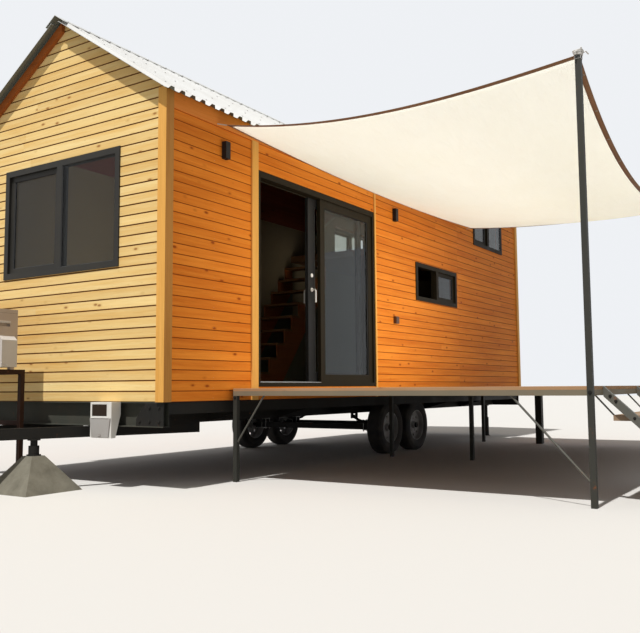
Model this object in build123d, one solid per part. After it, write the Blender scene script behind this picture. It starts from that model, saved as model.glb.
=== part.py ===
"""Tiny house on a two-axle trailer, with a timber deck, steps and a shade sail.

House axes while modelling: X runs back from the front gable, Y from the door wall to the
back wall, Z up from the ground. Every piece is moved at the end, so that the origin lies on
the ground under the middle of the whole object's box.
"""
from build123d import *

import math
import os

# Shell
HOUSE_LENGTH = 8400
HOUSE_WIDTH = 2550
WALL = 110
FLOOR_BOTTOM = 702
FLOOR_THICKNESS = 118
WALL_OVER_DOOR = 420
ROOF_PITCH = 34.0
DORMER_LENGTH = 2500
DORMER_LIFT = 470
ROOF_PANEL = 80
CHEEK_THICKNESS = 60
TOUCH = 0.3

# Corrugated roof sheets
RIB_PITCH = 125
RIB_HEIGHT = 26
RIB_FOOT = 74
RIB_CREST = 40
SHEET = 3
VERGE_OVERHANG = 115
EAVE_OVERHANG = 95
RIDGE_GAP = 45
CAP_WING = 150
CAP_THICKNESS = 4
VERGE_BATTEN_WIDTH = 70
VERGE_BATTEN_THICKNESS = 35

# Trims
CORNER_BOARD_WIDTH = 90
CORNER_BOARD_THICKNESS = 20
FRIEZE_HEIGHT = 150
FRIEZE_THICKNESS = 16
DOOR_TRIM_WIDTH = 95
DOOR_TRIM_NARROW = 30

# Sliding door
DOOR_START = 1214
DOOR_WIDTH = 2234
DOOR_HEIGHT = 2030
DOOR_FRAME_DEPTH = 120
DOOR_FRAME_PROUD = 6
JAMB = 42
DOOR_HEAD = 60
DOOR_SILL = 40
LEAF_STILE = 84
HANDLE_STILE = 125
LEAF_RAIL = 84
LEAF_THICKNESS = 38
OUTER_TRACK = 12
INNER_TRACK = 62
LEAF_OVERLAP = 40
LEAF_OPEN_REVEAL = 158
LEAF_CLEARANCE = 6
GLASS = 8
TRACK_RAIL_HEIGHT = 10
TRACK_RAIL_WIDTH = 5
ROLLER_RADIUS = 10
ROLLER_WIDTH = 9
ROLLER_INSET = 120
GUIDE_FIN = 12
THRESHOLD_THICKNESS = 6
HANDLE_HEIGHT = 1000
HANDLE_LENGTH = 135
HANDLE_REACH = 52
HANDLE_BAR = 16
HANDLE_BEND = 18
LOCK_RISE = 150
ROSE_RADIUS = 20
ROSE_THICKNESS = 8

# Windows: length, height of the sill over the floor below it, and height
FRAME_FACE = 55
FRAME_DEPTH = 80
FRAME_PROUD = 12
SASH_FACE = 46
SASH_DEPTH = 34
SASH_INSET = 26
MULLION = 70
PANE = 20
PANE_INSET = 10
GABLE_WINDOW = (1532, 1011, 1030)
GABLE_WINDOW_START = 524
KITCHEN_WINDOW = (1298, 1095, 495)
KITCHEN_WINDOW_BEFORE_DORMER = 65
LOFT_WINDOW = (1190, 123, 560)
LOFT_WINDOW_AFTER_DORMER = 613

# Inside
LOFT_BELOW_EAVE = 470
LOFT_FLOOR_THICKNESS = 90
LOFT_BEFORE_DORMER = 650
STAIR_RUN = 1560
STAIR_WIDTH = 620
STAIR_STEPS = 9
TREAD_THICKNESS = 30
STAIR_SIDE = 24

# Trailer
CHASSIS_HEIGHT = 200
CHASSIS_FLANGE = 70
CHASSIS_WEB = 8
RAIL_SPACING = 1650
CROSS_MEMBER_STARTS = (1050, 2150, 3250, 5650, 6900)
EDGE_BEAM_HEIGHT = 100
EDGE_BEAM_WIDTH = 50
EDGE_BEAM_INSET = 22
OUTRIGGER_THICKNESS = 10
GUSSET_FOOT = 300
GUSSET_HEAD = 195
GUSSET_SHOULDER = 55
GUSSET_THICKNESS = 10
DRAWBAR_REACH = 1150
DRAWBAR_ARM_HEIGHT = 90
DRAWBAR_ARM_WIDTH = 60
DRAWBAR_ARM_END = 950
COUPLING_LENGTH = 300
COUPLING_WIDTH = 90
COUPLING_CUP = 45
BALL_RADIUS = 25
JACK_POSITION = -450
FAR_JACK_POSITION = -995
JACK_FOOT = 56
JACK_PLATE = 10
JACK_TUBE = 42
JACK_SCREW = 28
JACK_HEAD = 50
STEADY_INSET = 300
FOOTING_BASE = 540
FOOTING_TOP = 120
FOOTING_HEIGHT = 280
AXLE_POSITIONS = (4100, 4820)
AXLE_TUBE = 70
WHEEL_RADIUS = 320
TYRE_WIDTH = 190
RIM_RADIUS = 190
WHEEL_INSET = 140
SPINDLE_RADIUS = 20
SPINDLE_CLEARANCE = 0.08
HUB_RADIUS = 48
VENT_RADIUS = 17
VENT_CIRCLE = 130
AXLE_GAP = 12
TYRE_BEAD = 40
TYRE_SHOULDER = 45
TREAD_EDGE = 8
RIM_THICKNESS = 8
DISC_THICKNESS = 10

# Leaf springs
SPRING_CHORD = 640
SPRING_RISE = 60
SPRING_LEAF = 9
SPRING_WIDTH = 50
LEAF_SHARES = (1.0, 0.72, 0.45)
SADDLE_LENGTH = 110
SADDLE_HEIGHT = 12
EYE_RADIUS = 17
PIN_RADIUS = 9
HANGER_PLATE = 8
HANGER_END = 28
HANGER_CLEARANCE = 1

# Deck and its legs
DECK_START = 830
DECK_END = 6635
DECK_DEPTH = 3078
DECK_STEP_DOWN = 14
DECK_BOARD = 24
DECK_TUBE = 40
DECK_WALL_GAP = 30
DECK_LEG = 40
FAR_LEG = 90
FAR_LEG_POSITION = 895
DECK_BAYS = 2
BRACE_DIAMETER = 16
OUTER_BRACE_LOW = 170
OUTER_BRACE_RUN = 530
INNER_BRACE_LOW = 350
INNER_BRACE_RUN = 280
JOIST_COUNT = 4

# Steps
STAIRWAY_START = 1107
STAIRWAY_WIDTH = 1100
STEP_COUNT = 3
STEP_PITCH = 43.3
STRINGER_HEIGHT = 53
STRINGER_WIDTH = 40
STEP_DEPTH = 260
STEP_LEAD = 0.38
STEP_THICKNESS = 40
STRAP_DIAMETER = 12

# Shade sail: distance of its corners from what holds them
POST_BELOW_EAVE = 140
SAIL_THICKNESS = 6
SAIL_GRID = 8
SAIL_BELLY = 70
SAIL_OFF_WALL = 90
SAIL_OFF_POST = 17
SAIL_START = 658
SAIL_END = 6231
SAIL_BELOW_EAVE = 165
SAIL_BELOW_POST_TOP = 18
FAR_TIE_LENGTH = 191
TIE_DIAMETER = 10

# Edges of the sail: pull inwards, sag and skew of the curve
NEAR_EDGE = (138, 88, 0.27)
FAR_EDGE = (101, 91, 0.0)
WALL_EDGE = (0, 70, 0.0)
POST_EDGE = (97, 421, 0.05)

# Fittings
LAMP_BEFORE_DOOR = 484
LAMP_AFTER_DOOR = 512
LAMP_WIDTH = 60
LAMP_DEPTH = 50
LAMP_HEIGHT = 155
LAMP_BELOW_EAVE = 438
LAMP_BORE_RADIUS = 18
LAMP_BORE_DEPTH = 14
SOCKET_HEIGHT = 798
SOCKET_SIZE = 86
SOCKET_DEPTH = 34
INLET_START = 476
INLET_WIDTH = 248
INLET_HEIGHT = 290
INLET_DEPTH = 100
INLET_FOOT_DEPTH = 45
INLET_SHOULDER = 100
INLET_WALL = 6
INLET_PANE_HEIGHT = 105
INLET_PANE_INSET = 14
INLET_PANE_SINK = 3
INLET_PILLAR = 50
FLAP_HEIGHT = 154
FLAP_THICKNESS = 12
FLAP_INSET = 6
FLAP_TAPER = 22
AC_START = 1451
AC_WIDTH = 780
AC_HEIGHT = 494
AC_DEPTH = 280
AC_GAP = 285
AC_BOTTOM = 1001
AC_FOOT = 20
AC_FOOT_LENGTH = 40
AC_FOOT_INSET = 25
STAND_BEHIND = 45
AC_FAN_RADIUS = 200
AC_FAN_DEPTH = 60
AC_FAN_SHARE = 0.58
GUARD_THICKNESS = 5
GUARD_RINGS = 5
GUARD_BARS = 4
HUB_WIDTH = 50
VALVE_COVER_LENGTH = 150
VALVE_COVER_HEIGHT = 265
VALVE_COVER_DEPTH = 45
VALVE_COVER_SLOPE = 37
VALVE_COVER_INSET = 32
GRIP_LENGTH = 130
GRIP_HEIGHT = 40
GRIP_DEPTH = 22
GRIP_DROP = 108
GRIP_INSET = 75
ANGLE_IRON = 40


def block(x_range, y_range, z_range):
    """A box between three pairs of bounds."""
    size = [high - low for low, high in (x_range, y_range, z_range)]
    low_corner = (x_range[0], y_range[0], z_range[0])
    return Pos(*low_corner) * Box(*size, align=(Align.MIN, Align.MIN, Align.MIN))


def prism_along_x(points, start, end):
    """A straight solid whose outline lies in the YZ plane."""
    face = Plane.YZ * Polygon(*points, align=None)
    return Pos(start, 0, 0) * extrude(face, amount=end - start, dir=(1, 0, 0))


def prism_along_y(points, start, end):
    """A straight solid whose outline lies in the XZ plane."""
    face = Plane.XZ * Polygon(*points, align=None)
    return Pos(0, start, 0) * extrude(face, amount=end - start, dir=(0, 1, 0))


def rod(start, end, diameter):
    """A round bar between two points."""
    axis = Vector(*end) - Vector(*start)
    plane = Plane(origin=start, z_dir=axis)
    return extrude(plane * Circle(diameter / 2), amount=axis.length)


def beam(start, end, width, height):
    """A rectangular bar between two points, with its height kept in the upright plane."""
    axis = Vector(*end) - Vector(*start)
    side = axis.cross(Vector(0, 0, 1))
    plane = Plane(origin=start, x_dir=side, z_dir=axis)
    return extrude(plane * Rectangle(width, height), amount=axis.length)


# Heights of the roof at a distance from the door wall
MIDDLE = HOUSE_WIDTH / 2
PITCH_RISE = math.tan(math.radians(ROOF_PITCH))
FLOOR_TOP = FLOOR_BOTTOM + FLOOR_THICKNESS
DOOR_BOTTOM = FLOOR_TOP
DOOR_TOP = DOOR_BOTTOM + DOOR_HEIGHT
DOOR_END = DOOR_START + DOOR_WIDTH
EAVE_HEIGHT = DOOR_TOP + WALL_OVER_DOOR
RIDGE_HEIGHT = EAVE_HEIGHT + MIDDLE * PITCH_RISE
DORMER_EAVE_HEIGHT = EAVE_HEIGHT + DORMER_LIFT
DORMER_RISE = (RIDGE_HEIGHT - DORMER_EAVE_HEIGHT) / MIDDLE
DORMER_START = HOUSE_LENGTH - DORMER_LENGTH
LOFT_FLOOR_TOP = EAVE_HEIGHT - LOFT_BELOW_EAVE
LOFT_START = DORMER_START - LOFT_BEFORE_DORMER
STAIR_START = LOFT_START - STAIR_RUN


def roof_underside(y, rise=PITCH_RISE):
    """Height of the underside of the roof sheets."""
    return RIDGE_HEIGHT - abs(y - MIDDLE) * rise


def panel_underside(y, rise=PITCH_RISE):
    """Height of the underside of the boarded panels under the sheets."""
    return roof_underside(y, rise) - ROOF_PANEL * math.hypot(1, rise)


# Floor and walls

def window_hole(start, window, base):
    """Start, length, bottom and height of a window whose sill is measured from a floor."""
    length, sill, height = window
    return start, length, base + sill, height


GABLE_HOLE = window_hole(GABLE_WINDOW_START, GABLE_WINDOW, FLOOR_TOP)
KITCHEN_START = DORMER_START - KITCHEN_WINDOW_BEFORE_DORMER - KITCHEN_WINDOW[0]
KITCHEN_HOLE = window_hole(KITCHEN_START, KITCHEN_WINDOW, FLOOR_TOP)
LOFT_WINDOW_START = DORMER_START + LOFT_WINDOW_AFTER_DORMER
LOFT_HOLE = window_hole(LOFT_WINDOW_START, LOFT_WINDOW, LOFT_FLOOR_TOP)


def floor():
    return block((WALL, HOUSE_LENGTH - WALL), (WALL, HOUSE_WIDTH - WALL), (FLOOR_BOTTOM, FLOOR_TOP))


def window_hole_in_long_wall(window, y_range):
    start, length, bottom, height = window
    return block((start, start + length), y_range, (bottom, bottom + height))


def long_wall(x_range, at_back, rise=PITCH_RISE, bottom=FLOOR_BOTTOM):
    """Part of a long wall up to the sloping underside of the roof panels."""
    near, far = (0, WALL) if not at_back else (HOUSE_WIDTH, HOUSE_WIDTH - WALL)
    outline = [
        (near, bottom),
        (far, bottom),
        (far, panel_underside(far, rise)),
        (near, panel_underside(near, rise)),
    ]
    return prism_along_x(outline, *x_range)


def gable_wall(x_range, rise):
    outline = [
        (0, FLOOR_BOTTOM),
        (HOUSE_WIDTH, FLOOR_BOTTOM),
        (HOUSE_WIDTH, roof_underside(HOUSE_WIDTH, rise)),
        (MIDDLE, RIDGE_HEIGHT),
        (0, roof_underside(0, rise)),
    ]
    return prism_along_x(outline, *x_range)


def front_wall():
    start, length, bottom, height = GABLE_HOLE
    hole = block((-1, WALL + 1), (start, start + length), (bottom, bottom + height))
    return gable_wall((0, WALL), PITCH_RISE) - hole


def rear_wall():
    return gable_wall((HOUSE_LENGTH - WALL, HOUSE_LENGTH), DORMER_RISE)


def walls():
    """Long walls in parts, split at the doorway and where the raised loft part starts."""
    door_side = (-1, WALL + 1)
    back_side = (HOUSE_WIDTH - WALL - 1, HOUSE_WIDTH + 1)
    rear_end = HOUSE_LENGTH - WALL
    over_door = long_wall((DOOR_START, DOOR_END), False, bottom=DOOR_TOP)
    under_door = block((DOOR_START, DOOR_END), (0, WALL), (FLOOR_BOTTOM, DOOR_BOTTOM))
    middle = long_wall((DOOR_END, DORMER_START), False)
    middle -= window_hole_in_long_wall(KITCHEN_HOLE, door_side)
    rear = long_wall((DORMER_START, rear_end), False, DORMER_RISE)
    rear -= window_hole_in_long_wall(LOFT_HOLE, door_side)
    back = long_wall((WALL, DORMER_START), True)
    back_rear = long_wall((DORMER_START, rear_end), True, DORMER_RISE)
    back_rear -= window_hole_in_long_wall(LOFT_HOLE, back_side)
    return {
        "door_wall_front": long_wall((WALL, DOOR_START), False),
        "door_wall_at_door": Compound([over_door, under_door]),
        "door_wall_middle": middle,
        "door_wall_rear": rear,
        "back_wall_front": back,
        "back_wall_rear": back_rear,
    }


def dormer_cheek():
    """Wall across the house between the low roof and the raised loft roof."""
    sides = (WALL, HOUSE_WIDTH - WALL)
    outline = [(sides[0], panel_underside(sides[0])), (MIDDLE, panel_underside(MIDDLE))]
    outline += [(sides[1], panel_underside(sides[1]))]
    outline += [(y, panel_underside(y, DORMER_RISE)) for y in (sides[1], MIDDLE, sides[0])]
    return prism_along_x(outline, DORMER_START, DORMER_START + CHEEK_THICKNESS)


# Roof

def roof_panels(x_range, rise):
    """Boarded roof panel of both slopes, one bent plate under the sheets."""
    outline = [
        (0, roof_underside(0, rise)),
        (MIDDLE, RIDGE_HEIGHT),
        (HOUSE_WIDTH, roof_underside(HOUSE_WIDTH, rise)),
        (HOUSE_WIDTH, panel_underside(HOUSE_WIDTH, rise)),
        (MIDDLE, panel_underside(MIDDLE, rise)),
        (0, panel_underside(0, rise)),
    ]
    return prism_along_x(outline, *x_range)


def sheet_outline(length):
    """Corrugated section: lower edge out, upper edge back."""
    flank = (RIB_FOOT - RIB_CREST) / 2
    lower = [(0, 0)]
    count = int((length - RIB_PITCH) // RIB_PITCH) + 1
    first = (length - (count - 1) * RIB_PITCH) / 2
    for number in range(count):
        centre = first + number * RIB_PITCH
        lower += [
            (centre - RIB_FOOT / 2, 0),
            (centre - RIB_FOOT / 2 + flank, RIB_HEIGHT),
            (centre + RIB_FOOT / 2 - flank, RIB_HEIGHT),
            (centre + RIB_FOOT / 2, 0),
        ]
    lower.append((length, 0))
    upper = [(x, height + SHEET) for x, height in reversed(lower)]
    return lower + upper


def both_slopes(x_range, rise):
    """Corrugated sheets laid on the two slopes, from past the eaves to just under the ridge."""
    angle = math.atan(rise)
    up_slope = Vector(0, math.cos(angle), math.sin(angle))
    eave_y = -EAVE_OVERHANG
    origin = (x_range[0], eave_y, roof_underside(eave_y, rise))
    slope_length = (MIDDLE - RIDGE_GAP - eave_y) / math.cos(angle)
    plane = Plane(origin=origin, x_dir=(1, 0, 0), z_dir=-up_slope)
    face = plane * Polygon(*sheet_outline(x_range[1] - x_range[0]), align=None)
    sheet = extrude(face, amount=slope_length, dir=up_slope)
    return Compound([sheet, mirror(sheet, about=Plane.XZ.offset(-MIDDLE))])


def ridge_cap(x_range, rise):
    """Folded sheet over the ridge, resting on the rib crests."""
    lift = (RIB_HEIGHT + SHEET) * math.hypot(1, rise) + TOUCH
    drop = CAP_WING * math.cos(math.atan(rise)) * rise
    reach = CAP_WING * math.cos(math.atan(rise))
    low = RIDGE_HEIGHT + lift
    thick = CAP_THICKNESS * math.hypot(1, rise)
    outline = [
        (MIDDLE - reach, low - drop),
        (MIDDLE, low),
        (MIDDLE + reach, low - drop),
        (MIDDLE + reach, low - drop + thick),
        (MIDDLE, low + thick),
        (MIDDLE - reach, low - drop + thick),
    ]
    return prism_along_x(outline, *x_range)


def verge_batten(x_range, rise):
    """Timber strip on a gable face, right under the sheets of the back slope."""
    drop = VERGE_BATTEN_WIDTH * math.hypot(1, rise)
    outline = [
        (MIDDLE, RIDGE_HEIGHT),
        (HOUSE_WIDTH, roof_underside(HOUSE_WIDTH, rise)),
        (HOUSE_WIDTH, roof_underside(HOUSE_WIDTH, rise) - drop),
        (MIDDLE, RIDGE_HEIGHT - drop),
    ]
    return prism_along_x(outline, *x_range)


def roof():
    rear_end = HOUSE_LENGTH - WALL
    main_sheets = (-VERGE_OVERHANG, DORMER_START)
    loft_sheets = (DORMER_START, HOUSE_LENGTH + VERGE_OVERHANG)
    front_batten = verge_batten((-VERGE_BATTEN_THICKNESS, 0), PITCH_RISE)
    rear_span = (HOUSE_LENGTH, HOUSE_LENGTH + VERGE_BATTEN_THICKNESS)
    rear_batten = verge_batten(rear_span, DORMER_RISE)
    return {
        "roof_panels": roof_panels((WALL, DORMER_START), PITCH_RISE),
        "loft_roof_panels": roof_panels((DORMER_START, rear_end), DORMER_RISE),
        "roof_sheets": both_slopes(main_sheets, PITCH_RISE),
        "loft_roof_sheets": both_slopes(loft_sheets, DORMER_RISE),
        "ridge_cap": ridge_cap(main_sheets, PITCH_RISE) + ridge_cap(loft_sheets, DORMER_RISE),
        "verge_battens": Compound([front_batten, rear_batten]),
    }


# Trims

def corner_board(rise, gable_top):
    """Angled timber strip that closes the siding at the front corner of the door side."""
    thick, inner = CORNER_BOARD_THICKNESS, CORNER_BOARD_WIDTH - CORNER_BOARD_THICKNESS
    side_top = roof_underside(-thick, rise) - TOUCH
    on_side = block((-thick, inner), (-thick, 0), (FLOOR_BOTTOM, side_top))
    return on_side + block((-thick, 0), (0, inner), (FLOOR_BOTTOM, gable_top))


def corner_boards():
    """The four corners; those of the back side end under the verge battens."""
    boards = []
    for at_rear in (False, True):
        rise = DORMER_RISE if at_rear else PITCH_RISE
        gable_top = roof_underside(0, rise) - TOUCH
        under_batten = gable_top - VERGE_BATTEN_WIDTH * math.hypot(1, rise)
        door_side = corner_board(rise, gable_top)
        back_side = mirror(corner_board(rise, under_batten), about=Plane.XZ.offset(-MIDDLE))
        for board in (door_side, back_side):
            boards.append(mirror(board, about=Plane.YZ.offset(HOUSE_LENGTH / 2)) if at_rear else board)
    return boards


def friezes():
    """Plain boards under the eaves, from the corner boards to the raised part and beyond."""
    boards = []
    inner = CORNER_BOARD_WIDTH - CORNER_BOARD_THICKNESS
    spans = (
        (inner, DORMER_START, PITCH_RISE),
        (DORMER_START, HOUSE_LENGTH - inner, DORMER_RISE),
    )
    for start, end, rise in spans:
        top = roof_underside(-FRIEZE_THICKNESS, rise) - TOUCH
        board = block((start, end), (-FRIEZE_THICKNESS, 0), (top - FRIEZE_HEIGHT, top))
        boards += [board, mirror(board, about=Plane.XZ.offset(-MIDDLE))]
    return Compound(boards)


def frieze_bottom():
    return roof_underside(-FRIEZE_THICKNESS) - TOUCH - FRIEZE_HEIGHT


def door_trims():
    """Upright boards beside the doorway, up to the frieze."""
    z_range = (FLOOR_BOTTOM, frieze_bottom())
    left = block((DOOR_START - DOOR_TRIM_WIDTH, DOOR_START), (-FRIEZE_THICKNESS, 0), z_range)
    right = block((DOOR_END, DOOR_END + DOOR_TRIM_NARROW), (-FRIEZE_THICKNESS, 0), z_range)
    return [left, right]


# Windows

def outward_plane(side, along, bottom):
    """Working plane on the outside of a wall, seen from outside, at a window's low left."""
    if side == "door":
        return Plane(origin=(along, 0, bottom), x_dir=(1, 0, 0), z_dir=(0, -1, 0))
    if side == "back":
        return Plane(origin=(along, HOUSE_WIDTH, bottom), x_dir=(-1, 0, 0), z_dir=(0, 1, 0))
    return Plane(origin=(0, along, bottom), x_dir=(0, -1, 0), z_dir=(-1, 0, 0))


def bar(plane, x_range, y_range, front, depth):
    """A bar on a wall plane, from its front height inwards."""
    low = (x_range[0], y_range[0], front - depth)
    size = (x_range[1] - x_range[0], y_range[1] - y_range[0], depth)
    return plane * (Pos(*low) * Box(*size, align=(Align.MIN, Align.MIN, Align.MIN)))


def ring(plane, x_range, y_range, face, front, depth):
    """A rectangular frame on a wall plane."""
    outer = bar(plane, x_range, y_range, front, depth)
    inner_x = (x_range[0] + face, x_range[1] - face)
    inner_y = (y_range[0] + face, y_range[1] - face)
    return outer - bar(plane, inner_x, inner_y, front + 1, depth + 2)


def window_parts(side, window, split, lights):
    """Frame with a mullion, a set-back sash in the light named so, and the panes."""
    start, length, bottom, height = window
    along = start if side == "door" else start + length
    plane = outward_plane(side, along, bottom)
    mullion = split * length
    half = MULLION / 2
    frame = ring(plane, (0, length), (0, height), FRAME_FACE, FRAME_PROUD, FRAME_DEPTH)
    inside = (FRAME_FACE, height - FRAME_FACE)
    frame += bar(plane, (mullion - half, mullion + half), inside, FRAME_PROUD, FRAME_DEPTH)
    spans = ((FRAME_FACE, mullion - half), (mullion + half, length - FRAME_FACE))
    panes = []
    for span, light in zip(spans, lights):
        if light == "sash":
            front = FRAME_PROUD - SASH_INSET
            frame += ring(plane, span, inside, SASH_FACE, front, SASH_DEPTH)
            pane_x = (span[0] + SASH_FACE, span[1] - SASH_FACE)
            pane_y = (inside[0] + SASH_FACE, inside[1] - SASH_FACE)
            panes.append(bar(plane, pane_x, pane_y, front - PANE_INSET, PANE))
        elif light == "fixed":
            panes.append(bar(plane, span, inside, FRAME_PROUD - PANE_INSET, PANE))
    return frame, panes


def windows():
    front_frame, front_panes = window_parts("front", GABLE_HOLE, 0.5, ("sash", "fixed"))
    kitchen_frame, kitchen_panes = window_parts("door", KITCHEN_HOLE, 0.5, ("open", "sash"))
    loft_frame, loft_panes = window_parts("door", LOFT_HOLE, 0.5, ("sash", "fixed"))
    back_loft_frame, back_loft_panes = window_parts("back", LOFT_HOLE, 0.5, ("fixed", "sash"))
    frames = [front_frame, kitchen_frame, loft_frame, back_loft_frame]
    panes = front_panes + kitchen_panes + loft_panes + back_loft_panes
    panes.append(fixed_leaf()[1])
    return {"window_frames": Compound(frames), "fixed_glass": Compound(panes)}


# Sliding door

LEAF_CLEAR_START = DOOR_START + JAMB
LEAF_CLEAR_END = DOOR_END - JAMB
LEAF_WIDTH = (LEAF_CLEAR_END - LEAF_CLEAR_START - LEAF_CLEARANCE + LEAF_OVERLAP) / 2
FIXED_START = LEAF_CLEAR_END - LEAF_WIDTH
SLIDING_START = FIXED_START - LEAF_OPEN_REVEAL
SILL_TOP = DOOR_BOTTOM + DOOR_SILL
HEAD_BOTTOM = DOOR_TOP - DOOR_HEAD


def leaf(start, y_start, z_range, near_stile=LEAF_STILE):
    """Glazed leaf: a frame of stiles and rails, and its pane."""
    x_range = (start, start + LEAF_WIDTH)
    y_range = (y_start, y_start + LEAF_THICKNESS)
    outer = block(x_range, y_range, z_range)
    inner_x = (x_range[0] + near_stile, x_range[1] - LEAF_STILE)
    inner_z = (z_range[0] + LEAF_RAIL, z_range[1] - LEAF_RAIL)
    frame = outer - block(inner_x, (y_range[0] - 1, y_range[1] + 1), inner_z)
    middle = y_start + LEAF_THICKNESS / 2
    pane = block(inner_x, (middle - GLASS / 2, middle + GLASS / 2), inner_z)
    return frame, pane


def fixed_leaf():
    return leaf(FIXED_START, OUTER_TRACK, (SILL_TOP, HEAD_BOTTOM))


def rail_middle():
    return INNER_TRACK + LEAF_THICKNESS / 2


def roller_height():
    return SILL_TOP + TRACK_RAIL_HEIGHT + ROLLER_RADIUS + TOUCH


def sliding_leaf():
    """Inner leaf with slots for its rollers and a groove over the guide fin at the head."""
    bottom = SILL_TOP + TRACK_RAIL_HEIGHT + LEAF_CLEARANCE
    z_range = (bottom, HEAD_BOTTOM - LEAF_CLEARANCE)
    frame, pane = leaf(SLIDING_START, INNER_TRACK, z_range, HANDLE_STILE)
    groove = TRACK_RAIL_WIDTH + 2 * LEAF_CLEARANCE
    middle = rail_middle()
    top = HEAD_BOTTOM - LEAF_CLEARANCE
    frame -= block(
        (SLIDING_START - 1, SLIDING_START + LEAF_WIDTH + 1),
        (middle - groove / 2, middle + groove / 2),
        (top - GUIDE_FIN - LEAF_CLEARANCE, top + 1),
    )
    rollers = []
    slot_width = ROLLER_WIDTH / 2 + TOUCH
    for distance in (ROLLER_INSET, LEAF_WIDTH - ROLLER_INSET):
        x = SLIDING_START + distance
        half = ROLLER_RADIUS + 2
        slot_top = roller_height() + ROLLER_RADIUS + TOUCH
        slot_y = (middle - slot_width, middle + slot_width)
        frame -= block((x - half, x + half), slot_y, (bottom - 1, slot_top))
        centre = (x, middle + ROLLER_WIDTH / 2, roller_height())
        wheel = Plane(origin=centre, x_dir=(1, 0, 0), z_dir=(0, -1, 0)) * Circle(ROLLER_RADIUS)
        rollers.append(extrude(wheel, amount=ROLLER_WIDTH))
    return frame, pane, rollers


def door_handles():
    """A lever that points down on each face of the wide stile, and the lock roses over them."""
    x = SLIDING_START + HANDLE_STILE / 2
    height = DOOR_BOTTOM + HANDLE_HEIGHT
    pieces = []
    for face, out in ((INNER_TRACK, -1), (INNER_TRACK + LEAF_THICKNESS, 1)):
        reach = face + out * HANDLE_REACH
        corners = [(x, face, height), (x, reach, height), (x, reach, height - HANDLE_LENGTH)]
        path = FilletPolyline(*corners, radius=HANDLE_BEND)
        section = Plane(origin=corners[0], z_dir=(0, out, 0)) * Circle(HANDLE_BAR / 2)
        rose = Plane(origin=corners[0], z_dir=(0, out, 0)) * Circle(ROSE_RADIUS)
        pieces.append(sweep(section, path=path) + extrude(rose, amount=ROSE_THICKNESS))
        pieces.append(Pos(0, 0, LOCK_RISE) * extrude(rose, amount=ROSE_THICKNESS))
    return Compound(pieces)


def door():
    """Aluminium frame, the fixed outer leaf and the sliding inner leaf, drawn open."""
    y_range = (-DOOR_FRAME_PROUD, DOOR_FRAME_DEPTH - DOOR_FRAME_PROUD)
    z_range = (DOOR_BOTTOM, DOOR_TOP)
    jambs = [
        block((DOOR_START, LEAF_CLEAR_START), y_range, z_range),
        block((LEAF_CLEAR_END, DOOR_END), y_range, z_range),
    ]
    clear = (LEAF_CLEAR_START, LEAF_CLEAR_END)
    head = block(clear, y_range, (HEAD_BOTTOM, DOOR_TOP))
    sill = block(clear, y_range, (DOOR_BOTTOM, SILL_TOP))
    sliding, sliding_pane, rollers = sliding_leaf()
    middle = rail_middle()
    fin_y = (middle - TRACK_RAIL_WIDTH / 2, middle + TRACK_RAIL_WIDTH / 2)
    rail = block(clear, fin_y, (SILL_TOP, SILL_TOP + TRACK_RAIL_HEIGHT))
    fin = block(clear, fin_y, (HEAD_BOTTOM - GUIDE_FIN, HEAD_BOTTOM))
    threshold = block(
        (LEAF_CLEAR_START, FIXED_START),
        (OUTER_TRACK, OUTER_TRACK + LEAF_THICKNESS),
        (SILL_TOP, SILL_TOP + THRESHOLD_THICKNESS),
    )
    return {
        "door_jambs": Compound(jambs),
        "door_head_and_sill": Compound([head, sill]),
        "door_rails": Compound([rail, fin, threshold]),
        "door_leaf_fixed": fixed_leaf()[0],
        "door_leaf_sliding": sliding,
        "door_glass_sliding": sliding_pane,
        "door_rollers": Compound(rollers),
        "door_handles": door_handles(),
    }


# Inside

def loft_stair():
    """Closed zigzag side panels and the treads that lie on them."""
    going = STAIR_RUN / STAIR_STEPS
    riser = (LOFT_FLOOR_TOP - FLOOR_TOP) / (STAIR_STEPS + 1)
    y_end = HOUSE_WIDTH - WALL
    y_start = y_end - STAIR_WIDTH
    outline = [(STAIR_START, FLOOR_TOP)]
    treads = []
    for number in range(STAIR_STEPS):
        top = FLOOR_TOP + (number + 1) * riser
        x = STAIR_START + number * going
        outline += [(x, top - TREAD_THICKNESS), (x + going, top - TREAD_THICKNESS)]
        treads.append(block((x, x + going), (y_start, y_end), (top - TREAD_THICKNESS, top)))
    outline.append((LOFT_START, FLOOR_TOP))
    sides = [
        prism_along_y(outline, y_start, y_start + STAIR_SIDE),
        prism_along_y(outline, y_end - STAIR_SIDE, y_end),
    ]
    return Compound(sides), Compound(treads)


def loft_floor():
    return block(
        (LOFT_START, HOUSE_LENGTH - WALL),
        (WALL, HOUSE_WIDTH - WALL),
        (LOFT_FLOOR_TOP - LOFT_FLOOR_THICKNESS, LOFT_FLOOR_TOP),
    )


# Trailer

CHASSIS_BOTTOM = FLOOR_BOTTOM - CHASSIS_HEIGHT
DRAWBAR_BOTTOM = CHASSIS_BOTTOM - DRAWBAR_ARM_HEIGHT


def channel(width, height, thick):
    """C section with its back on the left and its lower corner at the origin."""
    points = [
        (0, 0),
        (width, 0),
        (width, thick),
        (thick, thick),
        (thick, height - thick),
        (width, height - thick),
        (width, height),
        (0, height),
    ]
    return points


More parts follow.
